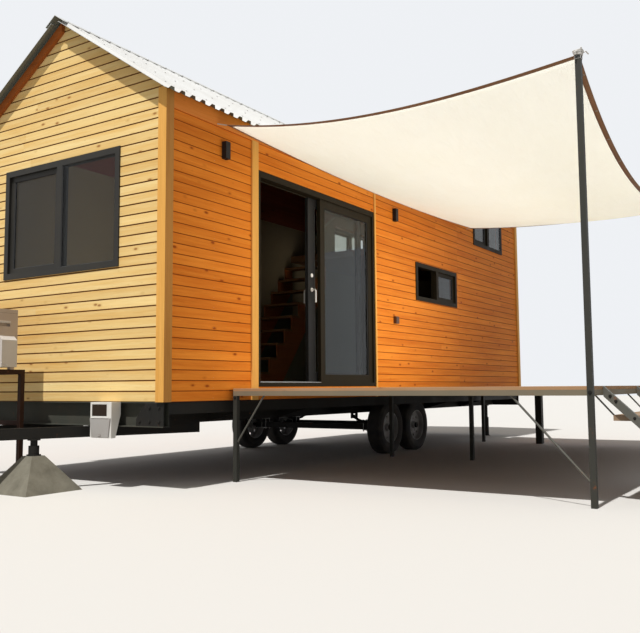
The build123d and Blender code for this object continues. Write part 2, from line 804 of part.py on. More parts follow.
def chassis():
    """Channel-section frame: two rails, end beams, cross members, outriggers and edges."""
    section = channel(CHASSIS_FLANGE, CHASSIS_HEIGHT, CHASSIS_WEB)
    near_rail = MIDDLE - RAIL_SPACING / 2
    rail_outline = [(near_rail + y, CHASSIS_BOTTOM + z) for y, z in section]
    length = (CHASSIS_FLANGE, HOUSE_LENGTH - CHASSIS_FLANGE)
    rail = prism_along_x(rail_outline, *length)
    end_outline = [(CHASSIS_FLANGE - x, CHASSIS_BOTTOM + z) for x, z in section]
    front_beam = prism_along_y(end_outline, 0, HOUSE_WIDTH)
    rear_beam = mirror(front_beam, about=Plane.YZ.offset(HOUSE_LENGTH / 2))
    crossing = [front_beam, rear_beam]
    for start in CROSS_MEMBER_STARTS:
        outline = [(start + x, CHASSIS_BOTTOM + z) for x, z in section]
        inner = (near_rail + CHASSIS_FLANGE, HOUSE_WIDTH - near_rail - CHASSIS_FLANGE)
        crossing.append(prism_along_y(outline, *inner))
        edge = EDGE_BEAM_INSET + EDGE_BEAM_WIDTH
        taper = [
            (edge, FLOOR_BOTTOM),
            (near_rail, FLOOR_BOTTOM),
            (near_rail, CHASSIS_BOTTOM),
            (edge, FLOOR_BOTTOM - EDGE_BEAM_HEIGHT),
        ]
        outrigger = prism_along_x(taper, start, start + OUTRIGGER_THICKNESS)
        crossing += [outrigger, mirror(outrigger, about=Plane.XZ.offset(-MIDDLE))]
    low, high = CHASSIS_BOTTOM + CHASSIS_WEB, FLOOR_BOTTOM - CHASSIS_WEB
    shape = [(0, low), (GUSSET_FOOT, low), (GUSSET_FOOT, low + GUSSET_SHOULDER)]
    shape += [(GUSSET_HEAD, high), (0, high)]
    gusset = prism_along_x(shape, 0, GUSSET_THICKNESS)
    crossing += [gusset, mirror(gusset, about=Plane.XZ.offset(-MIDDLE))]
    edge_beam = block(
        length,
        (EDGE_BEAM_INSET, EDGE_BEAM_INSET + EDGE_BEAM_WIDTH),
        (FLOOR_BOTTOM - EDGE_BEAM_HEIGHT, FLOOR_BOTTOM),
    )
    across = Plane.XZ.offset(-MIDDLE)
    along = [rail, mirror(rail, about=across), edge_beam, mirror(edge_beam, about=across)]
    return {"chassis_long_members": Compound(along), "chassis_cross_members": Compound(crossing)}


def drawbar():
    """Two arms that run out from under the rails to the coupling, and the coupling itself."""
    z = CHASSIS_BOTTOM - DRAWBAR_ARM_HEIGHT / 2
    near_rail = MIDDLE - RAIL_SPACING / 2
    tip = (-DRAWBAR_REACH, MIDDLE - COUPLING_WIDTH / 2, z)
    root = (DRAWBAR_ARM_END, near_rail + DRAWBAR_ARM_WIDTH / 2, z)
    arm = beam(tip, root, DRAWBAR_ARM_WIDTH, DRAWBAR_ARM_HEIGHT)
    z_range = (DRAWBAR_BOTTOM, CHASSIS_BOTTOM)
    head_space = block(
        (-DRAWBAR_REACH - COUPLING_LENGTH, -DRAWBAR_REACH + COUPLING_LENGTH),
        (MIDDLE - COUPLING_WIDTH / 2, MIDDLE + COUPLING_WIDTH / 2),
        (z_range[0] - 1, z_range[1] + 1),
    )
    arm -= head_space
    neck = block(
        (-DRAWBAR_REACH - COUPLING_CUP, -DRAWBAR_REACH + COUPLING_LENGTH),
        (MIDDLE - COUPLING_WIDTH / 2, MIDDLE + COUPLING_WIDTH / 2),
        z_range,
    )
    ball_centre = (-DRAWBAR_REACH - COUPLING_CUP, MIDDLE, z)
    cup = Pos(*ball_centre) * Cylinder(COUPLING_CUP, DRAWBAR_ARM_HEIGHT * 0.8)
    socket = Pos(*ball_centre) * Sphere(BALL_RADIUS)
    socket += Pos(ball_centre[0], MIDDLE, z - BALL_RADIUS) * Cylinder(BALL_RADIUS, BALL_RADIUS * 2)
    neck = neck + cup - socket
    return {
        "drawbar_arms": Compound([arm, mirror(arm, about=Plane.XZ.offset(-MIDDLE))]),
        "drawbar_coupling": neck,
    }


def arm_middle(x):
    """Distance of the near drawbar arm's middle line from the door wall."""
    root = MIDDLE - RAIL_SPACING / 2 + DRAWBAR_ARM_WIDTH / 2
    tip = MIDDLE - COUPLING_WIDTH / 2
    return tip + (root - tip) * (x + DRAWBAR_REACH) / (DRAWBAR_REACH + DRAWBAR_ARM_END)


def footing(x, y):
    """Cast concrete footing with four sloping sides."""
    taper = math.degrees(math.atan((FOOTING_BASE - FOOTING_TOP) / 2 / FOOTING_HEIGHT))
    base = Pos(x, y, 0) * Rectangle(FOOTING_BASE, FOOTING_BASE)
    return extrude(base, amount=FOOTING_HEIGHT, taper=taper)


def supports():
    """Screw jacks on concrete footings under the drawbar arms, and steadies at the rear."""
    places = [
        (JACK_POSITION, arm_middle(JACK_POSITION)),
        (FAR_JACK_POSITION, HOUSE_WIDTH - arm_middle(FAR_JACK_POSITION)),
    ]
    jacks = [screw_jack(x, y, FOOTING_HEIGHT, DRAWBAR_BOTTOM) for x, y in places]
    rail_y = MIDDLE - RAIL_SPACING / 2 + CHASSIS_FLANGE / 2
    steady = screw_jack(HOUSE_LENGTH - STEADY_INSET, rail_y, 0, CHASSIS_BOTTOM)
    jacks += [steady, mirror(steady, about=Plane.XZ.offset(-MIDDLE))]
    return {
        "screw_jacks": Compound(jacks),
        "concrete_blocks": Compound([footing(x, y) for x, y in places]),
    }


def screw_jack(x, y, low, high):
    """Foot plate, tube, screw and head plate in one turned piece."""
    outline = [
        (0, low),
        (JACK_FOOT, low),
        (JACK_FOOT, low + JACK_PLATE),
        (JACK_TUBE, low + JACK_PLATE),
        (JACK_TUBE, low + (high - low) * 0.6),
        (JACK_SCREW, low + (high - low) * 0.6),
        (JACK_SCREW, high - JACK_PLATE),
        (JACK_HEAD, high - JACK_PLATE),
        (JACK_HEAD, high),
        (0, high),
    ]
    section = Plane.XZ * Polygon(*outline, align=None)
    return Pos(x, y, 0) * revolve(section, axis=Axis.Z)


def wheel_nodes():
    """Four wheels, each a tyre and a steel rim whose hub runs on the axle's spindle."""
    nodes = {}
    half = TYRE_WIDTH / 2
    bead, edge = TYRE_WIDTH * 0.42, TYRE_WIDTH * 0.33
    tyre_outline = [
        (RIM_RADIUS, -bead),
        (RIM_RADIUS + TYRE_BEAD, -half),
        (WHEEL_RADIUS - TYRE_SHOULDER, -half),
        (WHEEL_RADIUS - TREAD_EDGE, -bead),
        (WHEEL_RADIUS, -edge),
        (WHEEL_RADIUS, edge),
        (WHEEL_RADIUS - TREAD_EDGE, bead),
        (WHEEL_RADIUS - TYRE_SHOULDER, half),
        (RIM_RADIUS + TYRE_BEAD, half),
        (RIM_RADIUS, bead),
    ]
    tyre = revolve(Plane.XY * Polygon(*tyre_outline, align=None), axis=Axis.Y)
    bore = SPINDLE_RADIUS + SPINDLE_CLEARANCE
    disc_y = -TYRE_WIDTH * 0.1
    disc = DISC_THICKNESS / 2
    barrel = RIM_RADIUS - RIM_THICKNESS
    rim_outline = [
        (bore, -TYRE_WIDTH * 0.32),
        (HUB_RADIUS, -TYRE_WIDTH * 0.32),
        (HUB_RADIUS, disc_y - disc),
        (barrel, disc_y - disc),
        (barrel, -bead),
        (RIM_RADIUS, -bead),
        (RIM_RADIUS, bead),
        (barrel, bead),
        (barrel, disc_y + disc),
        (HUB_RADIUS, disc_y + disc),
        (HUB_RADIUS, TYRE_WIDTH * 0.25),
        (bore, TYRE_WIDTH * 0.25),
    ]
    rim = revolve(Plane.XY * Polygon(*rim_outline, align=None), axis=Axis.Y)
    vent = Plane.XZ * Circle(VENT_RADIUS)
    vents = [
        Rot(0, angle, 0) * Pos(VENT_CIRCLE, -disc_y + 10, 0) * extrude(vent, amount=20, both=True)
        for angle in range(0, 360, 45)
    ]
    for hole in vents:
        rim -= Pos(0, 2 * disc_y - 10, 0) * hole
    side_y = WHEEL_INSET + TYRE_WIDTH / 2
    for row, x in zip(("front", "rear"), AXLE_POSITIONS):
        place = Pos(x, side_y, WHEEL_RADIUS)
        nodes[f"tyre_{row}_door_side"] = place * tyre
        nodes[f"rim_{row}_door_side"] = place * rim
        across = Plane.XZ.offset(-MIDDLE)
        nodes[f"tyre_{row}_back_side"] = mirror(place * tyre, about=across)
        nodes[f"rim_{row}_back_side"] = mirror(place * rim, about=across)
    return nodes


def curved_leaf(x, y_range, middle, radius, half_chord):
    """One blade of a spring, with its hollow side up."""
    width = y_range[1] - y_range[0]
    ring = Cylinder(radius + SPRING_LEAF, width) - Cylinder(radius, width + 2)
    ring = Pos(x, (y_range[0] + y_range[1]) / 2, middle) * Rot(90, 0, 0) * ring
    window = block(
        (x - half_chord, x + half_chord),
        (y_range[0] - 1, y_range[1] + 1),
        (middle - radius - 2 * SPRING_LEAF, middle - radius + 2 * SPRING_RISE),
    )
    return ring & window


def spring_pack(x, y_range):
    """Three blades of falling length on a saddle over the axle, with rolled eyes."""
    radius = ((SPRING_CHORD / 2) ** 2 + SPRING_RISE**2) / (2 * SPRING_RISE)
    seat = WHEEL_RADIUS + AXLE_TUBE / 2
    low = seat + SADDLE_HEIGHT
    middle = low + len(LEAF_SHARES) * SPRING_LEAF + radius
    half = SADDLE_LENGTH / 2
    saddle = block((x - half, x + half), y_range, (seat, low + SPRING_LEAF))
    width = y_range[1] - y_range[0]
    across = (y_range[0] + y_range[1]) / 2
    outer = radius + len(LEAF_SHARES) * SPRING_LEAF
    pack = saddle - Pos(x, across, middle) * Rot(90, 0, 0) * Cylinder(outer, width + 2)
    for number, share in enumerate(LEAF_SHARES):
        inner = radius + number * SPRING_LEAF
        pack += curved_leaf(x, y_range, middle, inner, SPRING_CHORD / 2 * share)
    for side in (-1, 1):
        eye = Pos(x + side * SPRING_CHORD / 2, across, eye_height()) * Rot(90, 0, 0)
        pack += eye * Cylinder(EYE_RADIUS, width)
        pack -= eye * Cylinder(PIN_RADIUS + TOUCH, width + 2)
    return pack


def eye_height():
    base = WHEEL_RADIUS + AXLE_TUBE / 2 + SADDLE_HEIGHT + len(LEAF_SHARES) * SPRING_LEAF
    return base + SPRING_RISE + EYE_RADIUS - SPRING_LEAF


def hanger(pins, y_range):
    """Two plates under a rail with a pin through them for each spring eye."""
    ends = (min(pins) - HANGER_END, max(pins) + HANGER_END)
    inner = (y_range[0] - HANGER_CLEARANCE, y_range[1] + HANGER_CLEARANCE)
    outer = (inner[0] - HANGER_PLATE, inner[1] + HANGER_PLATE)
    z_range = (eye_height() - HANGER_END, CHASSIS_BOTTOM)
    piece = block(ends, outer, z_range)
    piece -= block((ends[0] - 1, ends[1] + 1), inner, (z_range[0] - 1, z_range[1] - HANGER_PLATE))
    for x in pins:
        piece += rod((x, outer[0], eye_height()), (x, outer[1], eye_height()), 2 * PIN_RADIUS)
    return piece


def axles():
    """Square axle tubes with spindles, carried by leaf springs in hangers under the rails."""
    tubes = []
    spindle_start = WHEEL_INSET + TYRE_WIDTH * 0.1
    tube_start = WHEEL_INSET + TYRE_WIDTH + AXLE_GAP
    half = AXLE_TUBE / 2
    for x in AXLE_POSITIONS:
        tube = block(
            (x - half, x + half),
            (tube_start, HOUSE_WIDTH - tube_start),
            (WHEEL_RADIUS - half, WHEEL_RADIUS + half),
        )
        for end in (spindle_start, HOUSE_WIDTH - spindle_start):
            inner = tube_start if end < MIDDLE else HOUSE_WIDTH - tube_start
            tube += rod((x, end, WHEEL_RADIUS), (x, inner, WHEEL_RADIUS), 2 * SPINDLE_RADIUS)
        tubes.append(tube)
    rail_y = MIDDLE - RAIL_SPACING / 2 + CHASSIS_FLANGE / 2
    y_range = (rail_y - SPRING_WIDTH / 2, rail_y + SPRING_WIDTH / 2)
    reach = SPRING_CHORD / 2
    front, rear = AXLE_POSITIONS
    pieces = [spring_pack(x, y_range) for x in AXLE_POSITIONS]
    for pins in ((front - reach,), (front + reach, rear - reach), (rear + reach,)):
        pieces.append(hanger(pins, y_range))
    pieces += [mirror(piece, about=Plane.XZ.offset(-MIDDLE)) for piece in pieces]
    return {"axles": Compound(tubes), "axle_brackets": Compound(pieces)}


# Deck, steps and sail

DECK_TOP = FLOOR_TOP - DECK_STEP_DOWN
DECK_FRAME_TOP = DECK_TOP - DECK_BOARD
DECK_FRAME_BOTTOM = DECK_FRAME_TOP - DECK_TUBE
DECK_INNER = -DECK_WALL_GAP
DECK_OUTER = -DECK_DEPTH + DECK_LEG / 2
DECK_EDGE = DECK_OUTER - DECK_LEG
POST_HEIGHT = EAVE_HEIGHT - POST_BELOW_EAVE


def deck():
    """Boards on a frame of square tubes, with legs under it and rod braces."""
    inner, outer = DECK_INNER, DECK_OUTER
    z_range = (DECK_FRAME_BOTTOM, DECK_FRAME_TOP)
    between_posts = (DECK_START + DECK_LEG, DECK_END - DECK_LEG)
    boards = block((DECK_START, DECK_END), (outer, inner), (DECK_FRAME_TOP, DECK_TOP))
    boards += block(between_posts, (DECK_EDGE, outer), (DECK_FRAME_TOP, DECK_TOP))
    ends = [
        block((DECK_START, DECK_START + DECK_TUBE), (outer, inner), z_range),
        block((DECK_END - DECK_TUBE, DECK_END), (outer, inner), z_range),
    ]
    joists = [block(between_posts, (DECK_EDGE, outer), z_range)]
    span = (DECK_START + DECK_TUBE, DECK_END - DECK_TUBE)
    step = (inner - outer - DECK_TUBE) / (JOIST_COUNT - 1)
    rows = [outer + number * step for number in range(JOIST_COUNT)]
    for y in rows:
        joists.append(block(span, (y, y + DECK_TUBE), z_range))
    bay = (DECK_END - DECK_START - DECK_LEG) / DECK_BAYS
    by_wall = inner - DECK_LEG
    legs = []
    for number, places in enumerate(((by_wall,), (DECK_EDGE, rows[-2], by_wall), (by_wall,))):
        x = DECK_START + number * bay
        for y in places:
            legs.append(block((x, x + DECK_LEG), (y, y + DECK_LEG), (0, DECK_FRAME_BOTTOM)))
    far_y = (-FAR_LEG_POSITION - FAR_LEG / 2, -FAR_LEG_POSITION + FAR_LEG / 2)
    legs.append(block((DECK_END - FAR_LEG, DECK_END), far_y, (0, DECK_FRAME_BOTTOM)))
    return {
        "deck_boards": boards,
        "deck_end_beams": Compound(ends),
        "deck_joists": Compound(joists),
        "deck_posts": Compound(legs + sail_posts()),
        "deck_braces": deck_braces(legs + sail_posts() + ends),
    }


def deck_braces(carriers):
    """Slanted rods in the near end frame, from the legs up to the end beam."""
    x = DECK_START + DECK_TUBE / 2
    inner_leg = DECK_INNER - DECK_LEG
    top = DECK_FRAME_BOTTOM
    ends = (
        ((x, DECK_OUTER, OUTER_BRACE_LOW), (x, DECK_OUTER + OUTER_BRACE_RUN, top)),
        ((x, inner_leg, INNER_BRACE_LOW), (x, inner_leg - INNER_BRACE_RUN, top)),
    )
    braces = []
    for low, high in ends:
        along = (Vector(*high) - Vector(*low)).normalized() * BRACE_DIAMETER
        brace = rod(Vector(*low) - along, Vector(*high) + along, BRACE_DIAMETER)
        for carrier in carriers:
            brace -= carrier
        pieces = sorted(brace.solids(), key=lambda piece: piece.volume)
        braces.append(pieces[-1])
    return Compound(braces)


def sail_posts():
    posts = []
    for x in (DECK_START, DECK_END - DECK_LEG):
        posts.append(block((x, x + DECK_LEG), (DECK_EDGE, DECK_OUTER), (0, POST_HEIGHT)))
    return posts


def steps():
    """Steel stringers down from the deck's long side, and the treads between them."""
    tangent = math.tan(math.radians(STEP_PITCH))
    drop = STRINGER_HEIGHT / math.cos(math.radians(STEP_PITCH))
    top = DECK_TOP
    outer = DECK_EDGE
    run = top / tangent
    outline = [
        (outer, top),
        (outer - run, 0),
        (outer - run + drop / tangent, 0),
        (outer, top - drop),
    ]
    stringers = []
    for x in (STAIRWAY_START, STAIRWAY_START + STAIRWAY_WIDTH):
        stringers.append(prism_along_x(outline, x, x + STRINGER_WIDTH))
    treads = []
    x_range = (STAIRWAY_START + STRINGER_WIDTH, STAIRWAY_START + STAIRWAY_WIDTH)
    for number in range(1, STEP_COUNT + 1):
        height = top * (1 - number / (STEP_COUNT + 1))
        line = outer - (top - height) / tangent
        y_range = (line - STEP_DEPTH * STEP_LEAD, line + STEP_DEPTH * (1 - STEP_LEAD))
        treads.append(block(x_range, y_range, (height - STEP_THICKNESS, height)))
    joist_y = (DECK_OUTER, DECK_OUTER + DECK_TUBE)
    joist = block(x_range, joist_y, (DECK_FRAME_BOTTOM, DECK_FRAME_TOP))
    for x in (x_range[0] + STRAP_DIAMETER, x_range[1] - STRAP_DIAMETER):
        high = (x, joist_y[1] - STRAP_DIAMETER / 2, DECK_FRAME_BOTTOM + STRAP_DIAMETER / 2)
        back = outer - top / (STEP_COUNT + 1) / tangent + STEP_DEPTH * (1 - STEP_LEAD)
        low_height = top * STEP_COUNT / (STEP_COUNT + 1) - STRAP_DIAMETER
        strap = rod(high, (x, back - STRAP_DIAMETER, low_height), STRAP_DIAMETER)
        strap -= treads[0] + joist
        stringers.append(sorted(strap.solids(), key=lambda piece: piece.volume)[-1])
    return {
        "step_stringers": Compound(stringers),
        "step_treads": Compound(treads),
    }


SAIL_CORNERS = {
    "near_wall": Vector(SAIL_START, -SAIL_OFF_WALL, EAVE_HEIGHT - SAIL_BELOW_EAVE),
    "near_post": Vector(
        DECK_START + DECK_LEG + SAIL_OFF_POST, -DECK_DEPTH, POST_HEIGHT - SAIL_BELOW_POST_TOP
    ),
    "far_post": Vector(
        DECK_END - DECK_LEG - FAR_TIE_LENGTH, -DECK_DEPTH, POST_HEIGHT - SAIL_BELOW_POST_TOP
    ),
    "far_wall": Vector(SAIL_END, -SAIL_OFF_WALL, EAVE_HEIGHT - SAIL_BELOW_EAVE),
}


def sail_edge(first, last, inward, edge, t):
    """Point of an edge that is pulled inwards and sags between its two corners."""
    pull, sag, skew = edge
    weight = 4 * t * (1 - t) * (1 + skew * (1 - 2 * t))
    line = SAIL_CORNERS[first] * (1 - t) + SAIL_CORNERS[last] * t
    return line + Vector(*inward) * pull * weight - Vector(0, 0, sag * weight)


def sail_point(u, v):
    """Point of the sail: u from the near to the far edge, v from the wall to the posts."""
    near = sail_edge("near_wall", "near_post", (1, 0, 0), NEAR_EDGE, v)
    far = sail_edge("far_wall", "far_post", (-1, 0, 0), FAR_EDGE, v)
    wall = sail_edge("near_wall", "far_wall", (0, -1, 0), WALL_EDGE, u)
    post = sail_edge("near_post", "far_post", (0, 1, 0), POST_EDGE, u)
    a, b = SAIL_CORNERS["near_wall"], SAIL_CORNERS["near_post"]
    d, c = SAIL_CORNERS["far_wall"], SAIL_CORNERS["far_post"]
    corners = (a * (1 - v) + b * v) * (1 - u) + (d * (1 - v) + c * v) * u
    spot = near * (1 - u) + far * u + wall * (1 - v) + post * v - corners
    return spot - Vector(0, 0, SAIL_BELLY * 16 * u * (1 - u) * v * (1 - v))


def sail():
    """Cloth stretched between two wall hooks and two posts, with edges curved inwards."""
    count = SAIL_GRID
    grid = [
        [sail_point(row / count, column / count) for column in range(count + 1)]
        for row in range(count + 1)
    ]
    surface = Face.make_surface_from_array_of_points(grid)
    return Solid.thicken(surface, SAIL_THICKNESS)


def sail_ties():
    """Short lashings from each corner of the sail to its wall hook or post."""
    near, far = SAIL_CORNERS["near_wall"], SAIL_CORNERS["far_wall"]
    post_near, post_far = SAIL_CORNERS["near_post"], SAIL_CORNERS["far_post"]
    hooks = {
        "near_wall": (near.X - SAIL_OFF_WALL / 2, 0, near.Z + SAIL_OFF_WALL / 4),
        "near_post": (DECK_START + DECK_LEG / 2, post_near.Y, post_near.Z),
        "far_post": (DECK_END - DECK_LEG / 2, post_far.Y, post_far.Z),
        "far_wall": (far.X + SAIL_OFF_WALL / 2, WALL / 2, far.Z + SAIL_OFF_WALL / 4),
    }
    ties = []
    cloth = sail()
    for name, hook in hooks.items():
        corner = SAIL_CORNERS[name] + Vector(0, 0, SAIL_THICKNESS / 2)
        tie = rod(tuple(hook), tuple(corner), TIE_DIAMETER)
        for post in sail_posts():
            tie -= post
        wall_face = -FRIEZE_THICKNESS if name == "near_wall" else 0
        tie -= block((0, HOUSE_LENGTH), (wall_face, WALL), (0, RIDGE_HEIGHT))
        pieces = (tie - cloth).solids()
        ties.append(sorted(pieces, key=lambda piece: piece.volume)[-1])
    return Compound(ties)


# Fittings

def lamps():
    """Square lamps beside the door that shine up and down through round openings."""
    bottom = EAVE_HEIGHT - LAMP_BELOW_EAVE
    pieces = []
    for x in (DOOR_START - LAMP_BEFORE_DOOR, DOOR_END + LAMP_AFTER_DOOR):
        lamp = block(
            (x - LAMP_WIDTH / 2, x + LAMP_WIDTH / 2),
            (-LAMP_DEPTH, 0),
            (bottom, bottom + LAMP_HEIGHT),
        )
        for z in (bottom, bottom + LAMP_HEIGHT):
            lamp -= Pos(x, -LAMP_DEPTH / 2, z) * Cylinder(LAMP_BORE_RADIUS, 2 * LAMP_BORE_DEPTH)
        pieces.append(lamp)
    return pieces


def socket_box():
    x, z = DOOR_END + LAMP_AFTER_DOOR, FLOOR_TOP + SOCKET_HEIGHT
    half = SOCKET_SIZE / 2
    return block((x - half, x + half), (-SOCKET_DEPTH, 0), (z - half, z + half))


def inlet_box():
    """Electric inlet box under the front siding, open below, with a pane and a closed flap."""
    front = -INLET_DEPTH
    high, low = FLOOR_BOTTOM, FLOOR_BOTTOM - INLET_HEIGHT
    foot = front + INLET_FOOT_DEPTH
    sides = (INLET_START, INLET_START + INLET_WIDTH)
    outline = [(front, high), (0, high), (0, high - INLET_SHOULDER), (foot, low), (front, low)]
    wall = INLET_WALL
    inside = [
        (front + wall, high - wall),
        (-wall, high - wall),
        (-wall, high - INLET_SHOULDER),
        (foot - wall, low - 1),
        (front + wall, low - 1),
    ]
    shell = prism_along_y(outline, *sides) - prism_along_y(inside, sides[0] + wall, sides[1] - wall)
    shell -= block(
        (front - 1, front + INLET_PANE_SINK),
        (sides[0] + INLET_PILLAR, sides[1] - INLET_PANE_INSET),
        (high - INLET_PANE_INSET - INLET_PANE_HEIGHT, high - INLET_PANE_INSET),
    )
    low += FLAP_INSET
    flap_outline = [
        (sides[0] + FLAP_INSET, low + FLAP_HEIGHT),
        (sides[1] - FLAP_INSET, low + FLAP_HEIGHT),
        (sides[1] - FLAP_INSET - FLAP_TAPER, low),
        (sides[0] + FLAP_INSET + FLAP_TAPER, low),
    ]
    return shell + prism_along_x(flap_outline, front - FLAP_THICKNESS, front)


def fan_guard(centre):
    """Rings and bars over the fan, with the motor's hub behind them."""
    plane = Plane(origin=centre, x_dir=(0, 1, 0), z_dir=(1, 0, 0))
    step = (AC_FAN_RADIUS - HUB_WIDTH / 2) / GUARD_RINGS
    flat = Circle(HUB_WIDTH)
    for number in range(1, GUARD_RINGS):
        radius = HUB_WIDTH / 2 + number * step
        flat += Circle(radius + GUARD_THICKNESS / 2) - Circle(radius - GUARD_THICKNESS / 2)
    for number in range(GUARD_BARS):
        turn = Rot(0, 0, number * 180 / GUARD_BARS)
        flat += turn * Rectangle(2 * AC_FAN_RADIUS + GUARD_THICKNESS, GUARD_THICKNESS)
    guard = extrude(plane * flat, amount=GUARD_THICKNESS)
    return guard + extrude(plane * Circle(HUB_WIDTH), amount=AC_FAN_DEPTH)


def air_conditioner():
    """Outdoor unit on an angle-iron stand that rests on the far drawbar arm."""
    y_range = (AC_START, AC_START + AC_WIDTH)
    x_range = (-AC_GAP - AC_DEPTH, -AC_GAP)
    top = AC_BOTTOM + AC_HEIGHT
    casing = block(x_range, y_range, (AC_BOTTOM, top))
    centre = (x_range[0], y_range[0] + AC_WIDTH * AC_FAN_SHARE, AC_BOTTOM + AC_HEIGHT / 2)
    fan_plane = Plane(origin=centre, x_dir=(0, 1, 0), z_dir=(1, 0, 0))
    casing -= extrude(fan_plane * Circle(AC_FAN_RADIUS), amount=AC_FAN_DEPTH)
    casing += fan_guard(centre)
    cover_x = (x_range[1] - VALVE_COVER_INSET - VALVE_COVER_LENGTH, x_range[1] - VALVE_COVER_INSET)
    cover_y = y_range[0] - VALVE_COVER_DEPTH
    cover_outline = [
        (y_range[0], AC_BOTTOM),
        (cover_y, AC_BOTTOM),
        (cover_y, AC_BOTTOM + VALVE_COVER_HEIGHT - VALVE_COVER_SLOPE),
        (y_range[0], AC_BOTTOM + VALVE_COVER_HEIGHT),
    ]
    casing += prism_along_x(cover_outline, *cover_x)
    grip_end = x_range[1] - GRIP_INSET
    casing -= block(
        (grip_end - GRIP_LENGTH, grip_end),
        (y_range[0] - 1, y_range[0] + GRIP_DEPTH),
        (top - GRIP_DROP - GRIP_HEIGHT, top - GRIP_DROP),
    )
    legs_x = (x_range[0], x_range[1] + STAND_BEHIND)
    legs_y = (y_range[0], y_range[1] - ANGLE_IRON)
    stand_top = AC_BOTTOM - AC_FOOT
    for x in (x_range[0] + AC_FOOT_INSET, x_range[1] - AC_FOOT_INSET - AC_FOOT_LENGTH):
        for y in legs_y:
            casing += block((x, x + AC_FOOT_LENGTH), (y, y + ANGLE_IRON), (stand_top, AC_BOTTOM))
    stand = None
    for x in legs_x:
        for y in legs_y:
            leg = block((x, x + ANGLE_IRON), (y, y + ANGLE_IRON), (0, stand_top))
            stand = leg if stand is None else stand + leg
        for z in (CHASSIS_BOTTOM, stand_top - ANGLE_IRON):
            stand += block((x, x + ANGLE_IRON), (legs_y[0], y_range[1]), (z, z + ANGLE_IRON))
    for y in legs_y:
        stand += block(
            (legs_x[0], legs_x[1] + ANGLE_IRON),
            (y, y + ANGLE_IRON),
            (stand_top - ANGLE_IRON, stand_top),
        )
    return {"ac_casing": casing, "ac_stand": stand}


def everything():
    """All pieces by name, in house axes."""
    stair_sides, stair_treads = loft_stair()
    parts = {
        "floor": floor(),
        "front_wall": front_wall(),
        "rear_wall": rear_wall(),
        "dormer_cheek": dormer_cheek(),
        "upright_trims": Compound(corner_boards() + door_trims()),
        "friezes": friezes(),
        "loft_stair_sides": stair_sides,
        "loft_stair_treads": stair_treads,
        "loft_floor": loft_floor(),
        "sail": sail(),
        "sail_ties": sail_ties(),
        "lamps": Compound(lamps()),
        "electric_boxes": Compound([socket_box(), inlet_box()]),
    }
    groups = (
        walls(),
        roof(),
        windows(),
        door(),
        chassis(),
        drawbar(),
        supports(),
        wheel_nodes(),
        axles(),
        deck(),
        steps(),
        air_conditioner(),
    )
    for group in groups:
        parts.update(group)
    return parts


def main():
    os.makedirs("parts", exist_ok=True)
    parts = everything()
    box = Compound(list(parts.values())).bounding_box()
    shift = Pos(-box.center().X, -box.center().Y, -box.min.Z)
    print("origin of the house axes lies at", tuple(round(value, 3) for value in shift.position))
    for name, shape in parts.items():
        export_step(shift * shape, f"parts/{name}.step")


main()
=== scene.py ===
import math
import random

import bmesh
import bpy
from mathutils import Matrix, Vector

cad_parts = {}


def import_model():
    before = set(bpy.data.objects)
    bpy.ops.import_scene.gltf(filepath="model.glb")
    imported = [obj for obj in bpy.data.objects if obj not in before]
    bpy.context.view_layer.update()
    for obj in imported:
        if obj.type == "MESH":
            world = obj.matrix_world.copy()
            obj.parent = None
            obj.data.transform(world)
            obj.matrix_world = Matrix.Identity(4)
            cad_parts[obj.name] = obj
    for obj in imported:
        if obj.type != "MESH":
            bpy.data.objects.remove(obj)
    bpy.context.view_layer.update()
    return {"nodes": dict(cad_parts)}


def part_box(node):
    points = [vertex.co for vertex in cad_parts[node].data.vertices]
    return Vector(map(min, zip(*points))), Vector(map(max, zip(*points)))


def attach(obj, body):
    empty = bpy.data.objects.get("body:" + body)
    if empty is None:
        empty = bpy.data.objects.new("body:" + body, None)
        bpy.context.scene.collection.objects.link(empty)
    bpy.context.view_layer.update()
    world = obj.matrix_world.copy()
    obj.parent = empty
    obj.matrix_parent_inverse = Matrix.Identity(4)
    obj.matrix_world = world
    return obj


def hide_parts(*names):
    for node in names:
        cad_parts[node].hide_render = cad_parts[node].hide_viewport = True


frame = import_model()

nodes = frame["nodes"]
chance = random.Random(7)

# House axes: X from the front gable, Y from the door wall, Z from the ground
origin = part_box("front_wall")[0]
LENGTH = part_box("rear_wall")[1].x - origin.x
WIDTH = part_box("rear_wall")[1].y - origin.y
SIDING_BOTTOM = origin.z
PITCH = 0.086       # of the siding boards
BOARD = 0.018       # their thickness
FLOOR_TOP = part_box("floor")[1].z
LOFT_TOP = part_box("loft_floor")[1].z
STAIR_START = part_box("loft_stair_sides")[0].x - origin.x
STAIR_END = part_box("loft_stair_sides")[1].x - origin.x
DECK_TOP = 0.806
POSTS = (0.850, 6.615)
POST_Y = -3.078
PLAIN = (0.5, 0.5, 0.5, 1.0)    # middle tone of the boards' colour layer
UP = (0, 0, 1)


def at(x, y, z):
    return Vector((x + origin.x, y + origin.y, z))


def link_object(name, data):
    made = bpy.data.objects.new(name, data)
    bpy.context.scene.collection.objects.link(made)
    return made


# Camera at the photograph's place
def make_camera():
    data = bpy.data.cameras.new("camera")
    data.sensor_fit = "HORIZONTAL"
    data.sensor_width = 36.0
    data.lens = 44.84
    data.clip_start = 0.05
    data.clip_end = 200.0
    camera = link_object("camera", data)
    right = Vector((0.544, -0.839, -0.007)).normalized()
    look = Vector((0.836, 0.541, 0.089)).normalized()
    up = right.cross(look).normalized()
    right = look.cross(up).normalized()
    turn = Matrix((right, up, -look)).transposed().to_4x4()
    camera.matrix_world = Matrix.Translation(at(-4.63, -4.472, 0.807)) @ turn
    bpy.context.scene.camera = camera


make_camera()


